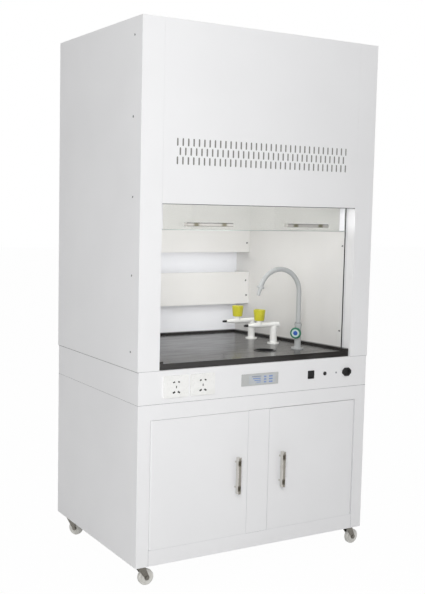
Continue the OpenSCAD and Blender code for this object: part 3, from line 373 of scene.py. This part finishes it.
def soften(made, width):
    """Rounds the sharp edges and keeps the flat faces flat."""
    bevel = made.modifiers.new("edges", "BEVEL")
    bevel.width = width
    bevel.segments = 2
    bevel.limit_method = "ANGLE"
    bevel.angle_limit = SHARP_ANGLE
    bevel.use_clamp_overlap = True
    normals = made.modifiers.new("normals", "WEIGHTED_NORMAL")
    normals.keep_sharp = True


for name, cad in NODES.items():
    finish = OWN_FINISH.get(name, FINISHES[SLOT_OF[name]])
    for place in cad.material_slots:
        place.material = finish.material
    if SLOT_OF[name] in EDGE:
        soften(cad, EDGE[SLOT_OF[name]] * MM)


# Pieces that are made here

def stand(name, mesh, finish):
    """Puts a finished bmesh into the scene as an object."""
    data = bpy.data.meshes.new(name)
    mesh.to_mesh(data)
    mesh.free()
    made = bpy.data.objects.new(name, data)
    SCENE.collection.objects.link(made)
    data.materials.append(finish.material)
    return made


def piece(name, mesh, finish, body, slot, edge=0.0):
    """Makes a smooth piece of the part from a bmesh and ties it to a body."""
    made = stand(name, mesh, finish)
    for face in made.data.polygons:
        face.use_smooth = True
    if edge:
        soften(made, edge)
    else:
        made.modifiers.new("normals", "WEIGHTED_NORMAL")
    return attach(made, body) if body else made


def add_block(mesh, matrix, size):
    """Adds a box of the given size about the origin of a matrix."""
    bmesh.ops.create_cube(mesh, size=1, matrix=matrix @ Matrix.Diagonal((*size, 1)))


def add_box(mesh, lo, hi):
    """Adds a box between two corners."""
    lo, hi = Vector(lo), Vector(hi)
    add_block(mesh, Matrix.Translation((lo + hi) / 2), hi - lo)


def add_ring(mesh, profile, matrix, steps=40):
    """Adds a turned shape: radius and height pairs swept round the local Z axis."""
    rings = []
    for radius, height in profile:
        if radius == 0:
            rings.append([mesh.verts.new(matrix @ Vector((0, 0, height)))])
            continue
        rings.append([
            mesh.verts.new(matrix @ Vector((
                radius * math.cos(2 * math.pi * i / steps),
                radius * math.sin(2 * math.pi * i / steps), height)))
            for i in range(steps)
        ])
    for low, high in zip(rings, rings[1:]):
        for i in range(steps):
            j = (i + 1) % steps
            corners = [low[i % len(low)], low[j % len(low)], high[j % len(high)], high[i % len(high)]]
            mesh.faces.new(list(dict.fromkeys(corners)))


def box_piece(name, boxes, *dressing):
    """A piece of plain boxes, each given by two corners."""
    mesh = bmesh.new()
    for lo, hi in boxes:
        add_box(mesh, lo, hi)
    return piece(name, mesh, *dressing)


def in_mm(*pairs):
    """A profile of radius and height pairs that are given in millimetres."""
    return [(radius * MM, height * MM) for radius, height in pairs]


def facing(axis):
    """A turn that takes +Z to the given direction."""
    return UP.rotation_difference(Vector(axis)).to_matrix().to_4x4()


def on_front(box, shares, proud, behind):
    """Corners of a thin box on another's front, whose left, bottom, right and top are shares of it."""
    lo, hi = box
    left, bottom, right, top = shares
    wide, tall = hi.x - lo.x, hi.z - lo.z
    return (Vector((lo.x + left * wide, lo.y - proud, lo.z + bottom * tall)),
            Vector((lo.x + right * wide, lo.y + behind, lo.z + top * tall)))


# Display: a pale window with printed marks that say nothing
WINDOW_SHARES = (0.20, 0.13, 0.92, 0.87)
window = on_front(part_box("display_panel"), WINDOW_SHARES, proud=0.3 * MM, behind=0.5 * MM)
box_piece("display_window", [window], moulded("window_grey", "#c4c8cb", "#bcc1c5", 0.2),
          "hood", "grey_plastic", 0.3 * MM)

BLUE_INK = moulded("blue_ink", "#7790c6", "#879dca", 0.35)
SLATE_INK = moulded("slate_ink", "#8b93a3", "#7d8698", 0.35)
RULE = [(0.10, 0.80, 0.46, 0.90)]
BARS = [(0.14, 0.56, 0.44, 0.66), (0.20, 0.34, 0.44, 0.44), (0.28, 0.14, 0.44, 0.22)]
KEY_COLUMNS = ((0.56, 0.65), (0.75, 0.89))
KEY_ROWS = ((0.08, 0.24), (0.39, 0.55), (0.70, 0.86))
KEYS = [(left, bottom, right, top) for left, right in KEY_COLUMNS for bottom, top in KEY_ROWS]
for name, ink, marks in (
        ("display_rule", SLATE_INK, RULE),
        ("display_bars", BLUE_INK, BARS),
        ("display_keys", BLUE_INK, KEYS)):
    box_piece(name, [on_front(window, mark, proud=0.25 * MM, behind=0.1 * MM) for mark in marks],
              ink, "hood", "grey_plastic", 0.08 * MM)

# Near-black shutters just inside the openings of the sockets: painted shade for the holes
# Near-black colour painted where recesses and gaps would lie in shade
PAINTED_SHADE = moulded("painted_shade", "#2a2b2d", "#1e1f20", 0.5)
HOLE_SHADE = moulded("hole_shade", "#121213", "#19191a", 0.6)
PLATE_WIDE = 118 * MM
SHUTTER_IN = 1.2 * MM
SHUTTER_DEEP = 2.8 * MM
# From the plate's centre to the right and up, width and height in millimetres, and lean in degrees
SHUTTERS = (
    (-11.5, 19, 6, 9.5, 70), (11.5, 19, 6, 9.5, -70), (0, -2, 4.4, 10, 0),
    (-11.5, -24, 7, 12, 60), (11.5, -24, 7, 12, -60))
lo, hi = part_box("power_sockets")
hole_blocks = bmesh.new()
for centre_x in (lo.x + PLATE_WIDE / 2, hi.x - PLATE_WIDE / 2):
    for across, up, wide, tall, lean in SHUTTERS:
        at = Vector((centre_x + across * MM, lo.y + SHUTTER_IN, (lo.z + hi.z) / 2 + up * MM))
        add_block(hole_blocks, Matrix.Translation(at) @ Matrix.Rotation(math.radians(lean), 4, "Y"),
                  (wide * MM, SHUTTER_DEEP, tall * MM))
piece("socket_hole_shade", hole_blocks, HOLE_SHADE, "hood", "black_plastic", 0.3 * MM)

# Small signal lamp beside the push button
SIGNAL_RIGHT = 3 * MM
BEZEL = in_mm((0, -1), (4, -1), (4, 1.2), (3.2, 1.8), (2.6, 1.4), (0, 1.2))
DOME = in_mm((2.6, 1.2), (2.3, 2.2), (1.3, 3.0), (0, 3.3))
DOME_STEPS = 24
front_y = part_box("control_fascia")[0].y
button = middle("push_button")
inlet = middle("power_inlet")
signal_at = Vector(((button.x + inlet.x) / 2 + SIGNAL_RIGHT, front_y, button.z))
signal_seat = Matrix.Translation(signal_at) @ facing(FRONT)
bezel = bmesh.new()
add_ring(bezel, BEZEL, signal_seat)
piece("signal_bezel", bezel, metal("signal_ring", "#b9bbbf", "#a6a9ad", 0.2), "hood", "zinc_steel")
dome = bmesh.new()
add_ring(dome, DOME, signal_seat, DOME_STEPS)
piece("signal_lens", dome, moulded("signal_lens", "#a9aeb4", "#9aa0a6", 0.15), "hood", "grey_plastic")


# Screws: domed heads with a cross recess in place of the plain CAD heads

def solids(node):
    """The points of each separate solid of a CAD node, in the same order each run."""
    mesh = bmesh.new()
    mesh.from_mesh(NODES[node].data)
    bmesh.ops.remove_doubles(mesh, verts=mesh.verts, dist=0.001 * MM)
    seen = set()
    groups = []
    for first in mesh.verts:
        if first in seen:
            continue
        seen.add(first)
        queue = [first]
        group = []
        while queue:
            vert = queue.pop()
            group.append(vert.co.copy())
            for edge in vert.link_edges:
                near = edge.other_vert(vert)
                if near not in seen:
                    seen.add(near)
                    queue.append(near)
        groups.append(group)
    mesh.free()
    return groups


CROWN_POINTS = 12


def screw_frame(points):
    """A matrix in a screw head, with +Z pointing out of the panel.

    The two points that span it lie on the rim, below the middle, so +Z leans by about 17 degrees.
    """
    centre = sum(points, Vector()) / len(points)
    far = max(points, key=lambda p: (p - centre).length)
    crown = sorted(points, key=lambda p: (p - centre).length)[:CROWN_POINTS]
    tip = sum(crown, Vector()) / len(crown)
    side = max(points, key=lambda p: (far - centre).cross(p - centre).length)
    normal = (far - centre).cross(side - centre)
    out = (tip - centre).normalized()
    normal = normal.normalized() if normal.dot(out) > 0 else -normal.normalized()
    seat = min((p - centre).dot(normal) for p in points)
    return Matrix.Translation(centre + normal * seat) @ facing(normal)


SCREW_R = 4.5 * MM
SCREW_H = 1.8 * MM
SCREW_STEPS = 28
HEAD = [(r * SCREW_R, h * SCREW_H) for r, h in (
    (0, 0), (1, 0), (1, 0.3), (0.9, 0.62), (0.66, 0.88), (0.35, 0.98), (0, 1))]
WASHER_IN, WASHER_R, WASHER_T = 0.9 * SCREW_R, 6.6 * MM, 0.5 * MM
WASHER = [
    (WASHER_IN, 0), (WASHER_R, 0), (WASHER_R, 0.6 * WASHER_T), (WASHER_R - WASHER_T, WASHER_T),
    (WASHER_IN, WASHER_T), (WASHER_IN, 0)]
CROSS_SIZE = (1.1 * SCREW_R, 0.24 * SCREW_R, 0.42 * SCREW_H)
CROSS_UP = Matrix.Translation((0, 0, 0.8 * SCREW_H))
TURN_BETWEEN = 0.7  # radians from one screw's recess to the next
heads = bmesh.new()
washers = bmesh.new()
crosses = bmesh.new()
for number, points in enumerate(sorted(solids("panel_screws"), key=lambda g: tuple(g[0]))):
    seat = screw_frame(points)
    add_ring(heads, HEAD, seat, SCREW_STEPS)
    add_ring(washers, WASHER, seat, SCREW_STEPS)
    spin = seat @ Matrix.Rotation(TURN_BETWEEN * number, 4, "Z")
    for quarter in (0, math.pi / 2):
        add_block(crosses, spin @ Matrix.Rotation(quarter, 4, "Z") @ CROSS_UP, CROSS_SIZE)
SCREW_STEEL = metal("screw_steel", "#77787b", "#606265", 0.36)
WASHER_BLACK = moulded("washer_black", "#4a4a4b", "#3d3d3e", 0.5)
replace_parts(piece("screw_heads", heads, SCREW_STEEL, "hood", "zinc_steel"), "panel_screws")
# The cross recesses are dark crosses on the domes: painted shade for the recesses
piece("screw_recesses", crosses, PAINTED_SHADE, "hood", "zinc_steel", 0.05 * MM)
piece("screw_washers", washers, WASHER_BLACK, "hood", "black_plastic")

# Grey lines in the joints between the tiers and in the base's front frame: painted shade for the gaps and the
# overhang
PROUD, BEHIND = 0.15 * MM, 0.5 * MM
DOOR_GAP = 2.5 * MM
FOOT_HALF, POST_HALF, STILE_HALF = 0.6 * MM, 0.5 * MM, 0.4 * MM
FOOT_SIDE, POST_SIDE = 0.9 * MM, 3.2 * MM
RAIL_LINE, SILL_LINE = 1.4 * MM, 0.5 * MM
band_lo, band_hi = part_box("band_shell")
base_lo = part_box("base_carcass")[0]
post_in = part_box("post_right")[0].x
door_lo, door_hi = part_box("door_right")
opening_lo, opening_hi = door_lo.z - DOOR_GAP, door_hi.z + DOOR_GAP
stile_edge = around(door_hi.x + DOOR_GAP, STILE_HALF)
middle_stile = around(0, door_lo.x - DOOR_GAP)


def front_line(x, z):
    """Corners of a line on the front face between two values of x and two of z."""
    return (x[0], front_y - PROUD, z[0]), (x[1], front_y + BEHIND, z[1])


def tier_lines(top, tall):
    """Corners of the lines on the two sides and the back, just below a height."""
    low = top - tall
    return [
        ((band_lo.x - PROUD, front_y, low), (band_lo.x + BEHIND, band_hi.y, top)),
        ((band_hi.x - BEHIND, front_y, low), (band_hi.x + PROUD, band_hi.y, top)),
        ((band_lo.x, band_hi.y - BEHIND, low), (band_hi.x, band_hi.y + PROUD, top))]


seams = [front_line((band_lo.x, band_hi.x), around(band_lo.z, FOOT_HALF))]
for post, stile in zip(both_sides(post_in, band_hi.x), both_sides(*stile_edge)):
    seams.append(front_line(post, around(band_hi.z, POST_HALF)))
    seams.append(front_line(stile, (base_lo.z, opening_lo)))
seams += tier_lines(band_lo.z, FOOT_SIDE) + tier_lines(band_hi.z, POST_SIDE)
seams.append(front_line(middle_stile, (opening_hi - RAIL_LINE, opening_hi)))
seams.append(front_line(middle_stile, (opening_lo, opening_lo + SILL_LINE)))
JOINT_SHADE = moulded("joint_shade", "#77787b", "#6c6d70", 0.6)
box_piece("seam_lines", seams, JOINT_SHADE, "hood", "white_paint")

# Pale seals on the frame, in the gaps around the doors; they leave room for the hinged edge to turn
SEAL_FRONT = door_lo.y + 0.6 * MM
SEAL_BACK = SEAL_FRONT + 3.9 * MM
HEEL_BACK = SEAL_BACK + 3 * MM
LIP_BACK = SEAL_FRONT + 0.35 * MM
CLEAR, HINGE_CLEAR, HEEL_CLEAR, TOP_CLEAR = 0.4 * MM, 1.75 * MM, 1.0 * MM, 1.0 * MM
seals = []
for node, hinge in (("door_left", -1), ("door_right", 1)):
    low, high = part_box(node)
    free_edge, hinge_edge = (low.x, high.x) if hinge > 0 else (high.x, low.x)
    for start, way, clear, near, far in (
            (free_edge, -hinge, CLEAR, SEAL_FRONT, SEAL_BACK),
            (hinge_edge, hinge, HINGE_CLEAR, SEAL_FRONT, SEAL_BACK),
            (hinge_edge, hinge, HEEL_CLEAR, SEAL_BACK, HEEL_BACK)):
        left, right = sorted((start + way * clear, start + way * DOOR_GAP))
        seals.append(((left, near, low.z - DOOR_GAP), (right, far, high.z + DOOR_GAP)))
    seals.append(((low.x, SEAL_FRONT, low.z - DOOR_GAP), (high.x, LIP_BACK, low.z - CLEAR)))
    if node == "door_left":
        seals.append(((low.x, SEAL_FRONT, high.z + TOP_CLEAR), (high.x, LIP_BACK, high.z + DOOR_GAP)))
PALE_RUBBER = moulded("pale_rubber", "#e6e6e8", "#dfdfe1", 0.6)
box_piece("door_seals", seals, PALE_RUBBER, "hood", "white_paint")

# Pale seals between the fascia and the posts, and between the baffles and the side liners
FASCIA_SEAL_IN, FASCIA_SEAL_BACK = 0.3 * MM, 4 * MM
fascia_lo, fascia_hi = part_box("front_fascia")
box_piece("fascia_seals", [
    ((left, front_y + FASCIA_SEAL_IN, fascia_lo.z), (right, front_y + FASCIA_SEAL_BACK, fascia_hi.z))
    for left, right in both_sides(fascia_hi.x, post_in)], PALE_RUBBER, "hood", "white_paint")
BAFFLE_T = 1.5 * MM
BAFFLE_GAP = 2.7 * MM
fillers = []
for node in ("baffle_upper", "baffle_middle"):
    low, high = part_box(node)
    for left, right in both_sides(high.x, high.x + BAFFLE_GAP):
        fillers.append(((left, low.y, low.z), (right, low.y + BAFFLE_T, high.z)))
box_piece("baffle_seals", fillers, FINISHES["liner_board"], "hood", "liner_board")

# Grey sheet behind the slots of the fascia: painted shade for what is seen through them
SHEET = 1.5 * MM
BACKING_NEAR, BACKING_FAR = SHEET + 0.2 * MM, SHEET + 1.2 * MM
BACKING_X, BACKING_Z = 450 * MM, 62 * MM
GRILLE_Z = fascia_lo.z + 213 * MM
box_piece("slot_shade_backing", [
    ((-BACKING_X, fascia_lo.y + BACKING_NEAR, GRILLE_Z - BACKING_Z),
     (BACKING_X, fascia_lo.y + BACKING_FAR, GRILLE_Z + BACKING_Z))],
    moulded("slot_shade_backing", "#868582", "#7a7976", 0.8), "hood", "black_plastic")

# Dark grey strip below the fascia, just in front of the sash: painted shade for the gap under the fascia's edge
LINTEL_IN, LINTEL_BACK, LINTEL_TALL = 1 * MM, 15 * MM, 2.6 * MM
lintel_x = post_in - LINTEL_IN
box_piece("lintel_shade_strip", [
    ((-lintel_x, fascia_lo.y + LINTEL_IN, fascia_lo.z - LINTEL_TALL),
     (lintel_x, fascia_lo.y + LINTEL_BACK, fascia_lo.z))],
    moulded("lintel_shade", "#545456", "#4a4a4c", 0.6), "hood", "black_plastic", 0.8 * MM)

# Ground edge along the bottom of the glass
GROUND_PROUD, GROUND_BELOW, GROUND_TALL = 0.12 * MM, 0.2 * MM, 2.2 * MM
pane_lo, pane_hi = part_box("sash_glass")
box_piece("glass_edge", [
    ((-post_in, pane_lo.y - GROUND_PROUD, pane_lo.z - GROUND_BELOW),
     (post_in, pane_hi.y + GROUND_PROUD, pane_lo.z + GROUND_TALL))],
    moulded("ground_glass", "#a9b3b0", "#9fa9a6", 0.5), "sash", "clear_glass")

# Pale strips that guard the two ends of the glass
STRIP_WIDE, STRIP_IN = 28 * MM, 10 * MM
STRIP_FRONT, STRIP_BACK = 0.6 * MM, 0.1 * MM
STRIP_FOOT, STRIP_HEAD = 2.4 * MM, 2 * MM
box_piece("glass_strips", [
    ((left, pane_lo.y - STRIP_FRONT, pane_lo.z + STRIP_FOOT),
     (right, pane_lo.y - STRIP_BACK, pane_hi.z - STRIP_HEAD))
    for left, right in both_sides(post_in - STRIP_IN - STRIP_WIDE, post_in - STRIP_IN)],
    moulded("strip_white", "#f6f6f8", "#f1f1f3", 0.35), "sash", "white_plastic")

# A cap with a raised pointer on each gas knob
CAP = in_mm((0, 1.2), (10, 1.0), (11.5, 0.4), (12, -0.6), (0, -0.6))
POINTER_LO, POINTER_HI = Vector((-22, -1.6, -0.4)) * MM, Vector((-4, 1.6, 1.6)) * MM
for node, body in (("gas_knob_rear", "rear_gas_knob"), ("gas_knob_front", "front_gas_knob")):
    top = middle(node)
    top.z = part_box(node)[1].z
    cap = bmesh.new()
    add_ring(cap, CAP, Matrix.Translation(top))
    add_box(cap, top + POINTER_LO, top + POINTER_HI)
    piece(node + "_cap", cap, FINISHES["yellow_plastic"], body, "yellow_plastic", 0.3 * MM)

# Dark ring where the faucet's tube turns in its column: painted shade for the gap of the swivel joint
SPOUT_SHADE_RING = in_mm((11.2, 1.6), (12.6, 1.9), (14.2, 1.2), (14.6, 0), (11.2, 0))
spout_x, spout_y = joint("spout_swing")["pos_m"][:2]
shade_ring = bmesh.new()
add_ring(shade_ring, SPOUT_SHADE_RING, Matrix.Translation((spout_x, spout_y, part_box("faucet_column")[1].z)))
piece("spout_shade_ring", shade_ring, PAINTED_SHADE, "hood", "black_plastic")

# Strainer over the drain in the cup sink
STRAINER = in_mm((9, 0), (20, 1.0), (20, 2.6), (9, 1.6), (9, 0))
STRAINER_DOWN = 86 * MM
SPOKES = 3
SPOKE_SIZE, SPOKE_UP = (19 * MM, 2 * MM, 1.6 * MM), Matrix.Translation((0, 0, 0.9 * MM))
cup = middle("cup_sink")
strainer_at = Matrix.Translation((cup.x, cup.y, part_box("cup_sink")[1].z - STRAINER_DOWN))
strainer = bmesh.new()
add_ring(strainer, STRAINER, strainer_at)
for spoke in range(SPOKES):
    spin = Matrix.Rotation(spoke * math.pi / SPOKES, 4, "Z")
    add_block(strainer, strainer_at @ spin @ SPOKE_UP, SPOKE_SIZE)
piece("sink_strainer", strainer, FINISHES["bright_chrome"], "hood", "bright_chrome")


# Cables: stranded wire, taut between a pulley and what hangs from it, in place of the CAD cables; the wire is tied
# to no body

def stranded(node):
    """Twisted six-strand tubes along the two vertical runs of a CAD cable node."""
    steps, sides, strands, twist, groove = 60, 24, 6, 250.0, 0.14
    low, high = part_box(node)
    radius = (high.y - low.y) / 2
    mesh = bmesh.new()
    for x in (low.x + radius, high.x - radius):
        rings = []
        for i in range(steps + 1):
            z = low.z + (high.z - low.z) * i / steps
            ring = []
            for k in range(sides):
                angle = 2 * math.pi * k / sides
                swell = 1 - groove + groove * abs(math.cos(strands / 2 * (angle - twist * (z - low.z))))
                ring.append(mesh.verts.new((x + radius * swell * math.cos(angle),
                                            (low.y + high.y) / 2 + radius * swell * math.sin(angle), z)))
            rings.append(ring)
        for a, b in zip(rings, rings[1:]):
            for k in range(sides):
                j = (k + 1) % sides
                mesh.faces.new((a[k], a[j], b[j], b[k]))
        mesh.faces.new(rings[0][::-1])
        mesh.faces.new(rings[-1])
    return mesh


for node, body in (("sash_cables", "sash"), ("weight_cables", "weights")):
    low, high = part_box(node)
    cable = piece(node + "_wire", stranded(node), FINISHES["steel_cable"], None, "steel_cable")
    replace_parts(cable, node)
    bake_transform(cable)


# Camera and studio

# Fitted to the corners of the hood in the photograph
CAMERA_AT = Vector((-2.3211, -3.8785, 1.5961))
CAMERA_RIGHT = Vector((0.8585, -0.5124, 0.0222))
CAMERA_DOWN = Vector((-0.0284, -0.0906, -0.9955))
LENS = 58.03
SENSOR = 36

camera = bpy.data.objects.new("camera", bpy.data.cameras.new("camera"))
SCENE.collection.objects.link(camera)
camera.data.sensor_fit = "VERTICAL"
camera.data.sensor_height = SENSOR
camera.data.lens = LENS
right = CAMERA_RIGHT.normalized()
up = -(CAMERA_DOWN - CAMERA_DOWN.dot(right) * right).normalized()
turn = Matrix((right, up, right.cross(up))).transposed()
camera.matrix_world = Matrix.Translation(CAMERA_AT) @ turn.to_4x4()
SCENE.camera = camera

GLOW_X, GLOW_Y, GLOW_Z = post_in - 0.05, -0.424, pane_lo.z + 0.085
SLOT_Y, PLENUM_Y = 0.312, 0.40
MIDDLE_Z, LOWER_Z = 1.32, 1.05
# Name, place, target, width and height, watts, and whether reflections show the lamp;
# the paint and the spout would mirror the key and the chamber lamp as a white glare
LAMPS = (
    ("key", (-2.35, -4.0, 2.38), (-0.3, -0.4, 1.4), (1.7, 2.2), 124, False),
    ("fill", (-4.2, -0.9, 2.7), (-0.6, 0, 1.7), (1.8, 2.0), 10.3, True),
    ("back", (2.6, 3.6, 2.9), (0.2, 0.3, 1.2), (2.0, 2.0), 48, True),
    ("lift", (0, -0.12, 1.97), (0, 0.0, 0.95), (0.7, 0.16), 2.0, True),
    ("chamber", (-0.24, -0.36, 1.30), (-0.22, 0.40, 1.48), (0.34, 0.40), 1.4, False),
    ("post_glow", (GLOW_X, GLOW_Y, GLOW_Z), (post_in, GLOW_Y, GLOW_Z), (0.012, 0.15), 0.02, True),
    ("middle_slot", (0, SLOT_Y, MIDDLE_Z), (0, PLENUM_Y, MIDDLE_Z), (0.72, 0.2), 0.1, True),
    ("lower_slot", (0, SLOT_Y, LOWER_Z), (0, PLENUM_Y, LOWER_Z), (0.72, 0.2), 0.07, True),
)
for name, at, target, size, watts, reflected in LAMPS:
    light = bpy.data.lights.new(name, "AREA")
    light.shape = "RECTANGLE"
    light.size, light.size_y = size
    light.energy = watts
    lamp = bpy.data.objects.new(name, light)
    SCENE.collection.objects.link(lamp)
    aim = (Vector(target) - Vector(at)).to_track_quat("-Z", "Y")
    lamp.matrix_world = Matrix.Translation(at) @ aim.to_matrix().to_4x4()
    lamp.visible_camera = False
    lamp.visible_glossy = reflected

# A dark flag to the right that only reflections show
FLAG_LO, FLAG_HI = (2.6, -4.0, 0.0), (2.62, 0.5, 2.6)
flag_mesh = bmesh.new()
add_box(flag_mesh, FLAG_LO, FLAG_HI)
flag = stand("flag", flag_mesh, Finish("flag_cloth", "#1b1916", 0.95))
for ray in ("visible_camera", "visible_diffuse", "visible_transmission", "visible_shadow"):
    setattr(flag, ray, False)


def show_white(tree, shader, kind, share, out):
    """Mixes plain white into what the camera, glass and metal see of a backdrop."""
    rays = tree.nodes.new("ShaderNodeLightPath")
    seen = rays.outputs["Is Camera Ray"]
    for other in ("Is Glossy Ray", "Is Transmission Ray"):
        either = tree.nodes.new("ShaderNodeMath")
        either.operation = "MAXIMUM"
        tree.links.new(seen, either.inputs[0])
        tree.links.new(rays.outputs[other], either.inputs[1])
        seen = either.outputs[0]
    amount = tree.nodes.new("ShaderNodeMath")
    amount.operation = "MULTIPLY"
    amount.inputs[1].default_value = share
    tree.links.new(seen, amount.inputs[0])
    white = tree.nodes.new(kind)
    white.inputs["Strength"].default_value = 1.0
    white.inputs["Color"].default_value = (1, 1, 1, 1)
    choose = tree.nodes.new("ShaderNodeMixShader")
    tree.links.new(amount.outputs[0], choose.inputs[0])
    tree.links.new(shader, choose.inputs[1])
    tree.links.new(white.outputs[0], choose.inputs[2])
    tree.links.new(choose.outputs[0], out)


SKY_STRENGTH = 0.35
SKY_WHITE = 1.0
world = bpy.data.worlds.new("studio")
SCENE.world = world
world.use_nodes = True
sky = world.node_tree.nodes["Background"]
sky.inputs["Color"].default_value = (1, 1, 1, 1)
sky.inputs["Strength"].default_value = SKY_STRENGTH
show_white(world.node_tree, sky.outputs[0], "ShaderNodeBackground", SKY_WHITE,
           world.node_tree.nodes["World Output"].inputs["Surface"])

FLOOR_HALF = 30.0
FLOOR_WHITE = 0.985
floor_mesh = bmesh.new()
bmesh.ops.create_grid(floor_mesh, x_segments=1, y_segments=1, size=FLOOR_HALF)
floor_finish = Finish("floor", "#dcdcdc", 0.9)
show_white(floor_finish.tree, floor_finish.shader.outputs[0], "ShaderNodeEmission", FLOOR_WHITE,
           floor_finish.tree.nodes["Material Output"].inputs["Surface"])
floor = stand("floor", floor_mesh, floor_finish)

bpy.context.scene.view_settings.view_transform = "Standard"
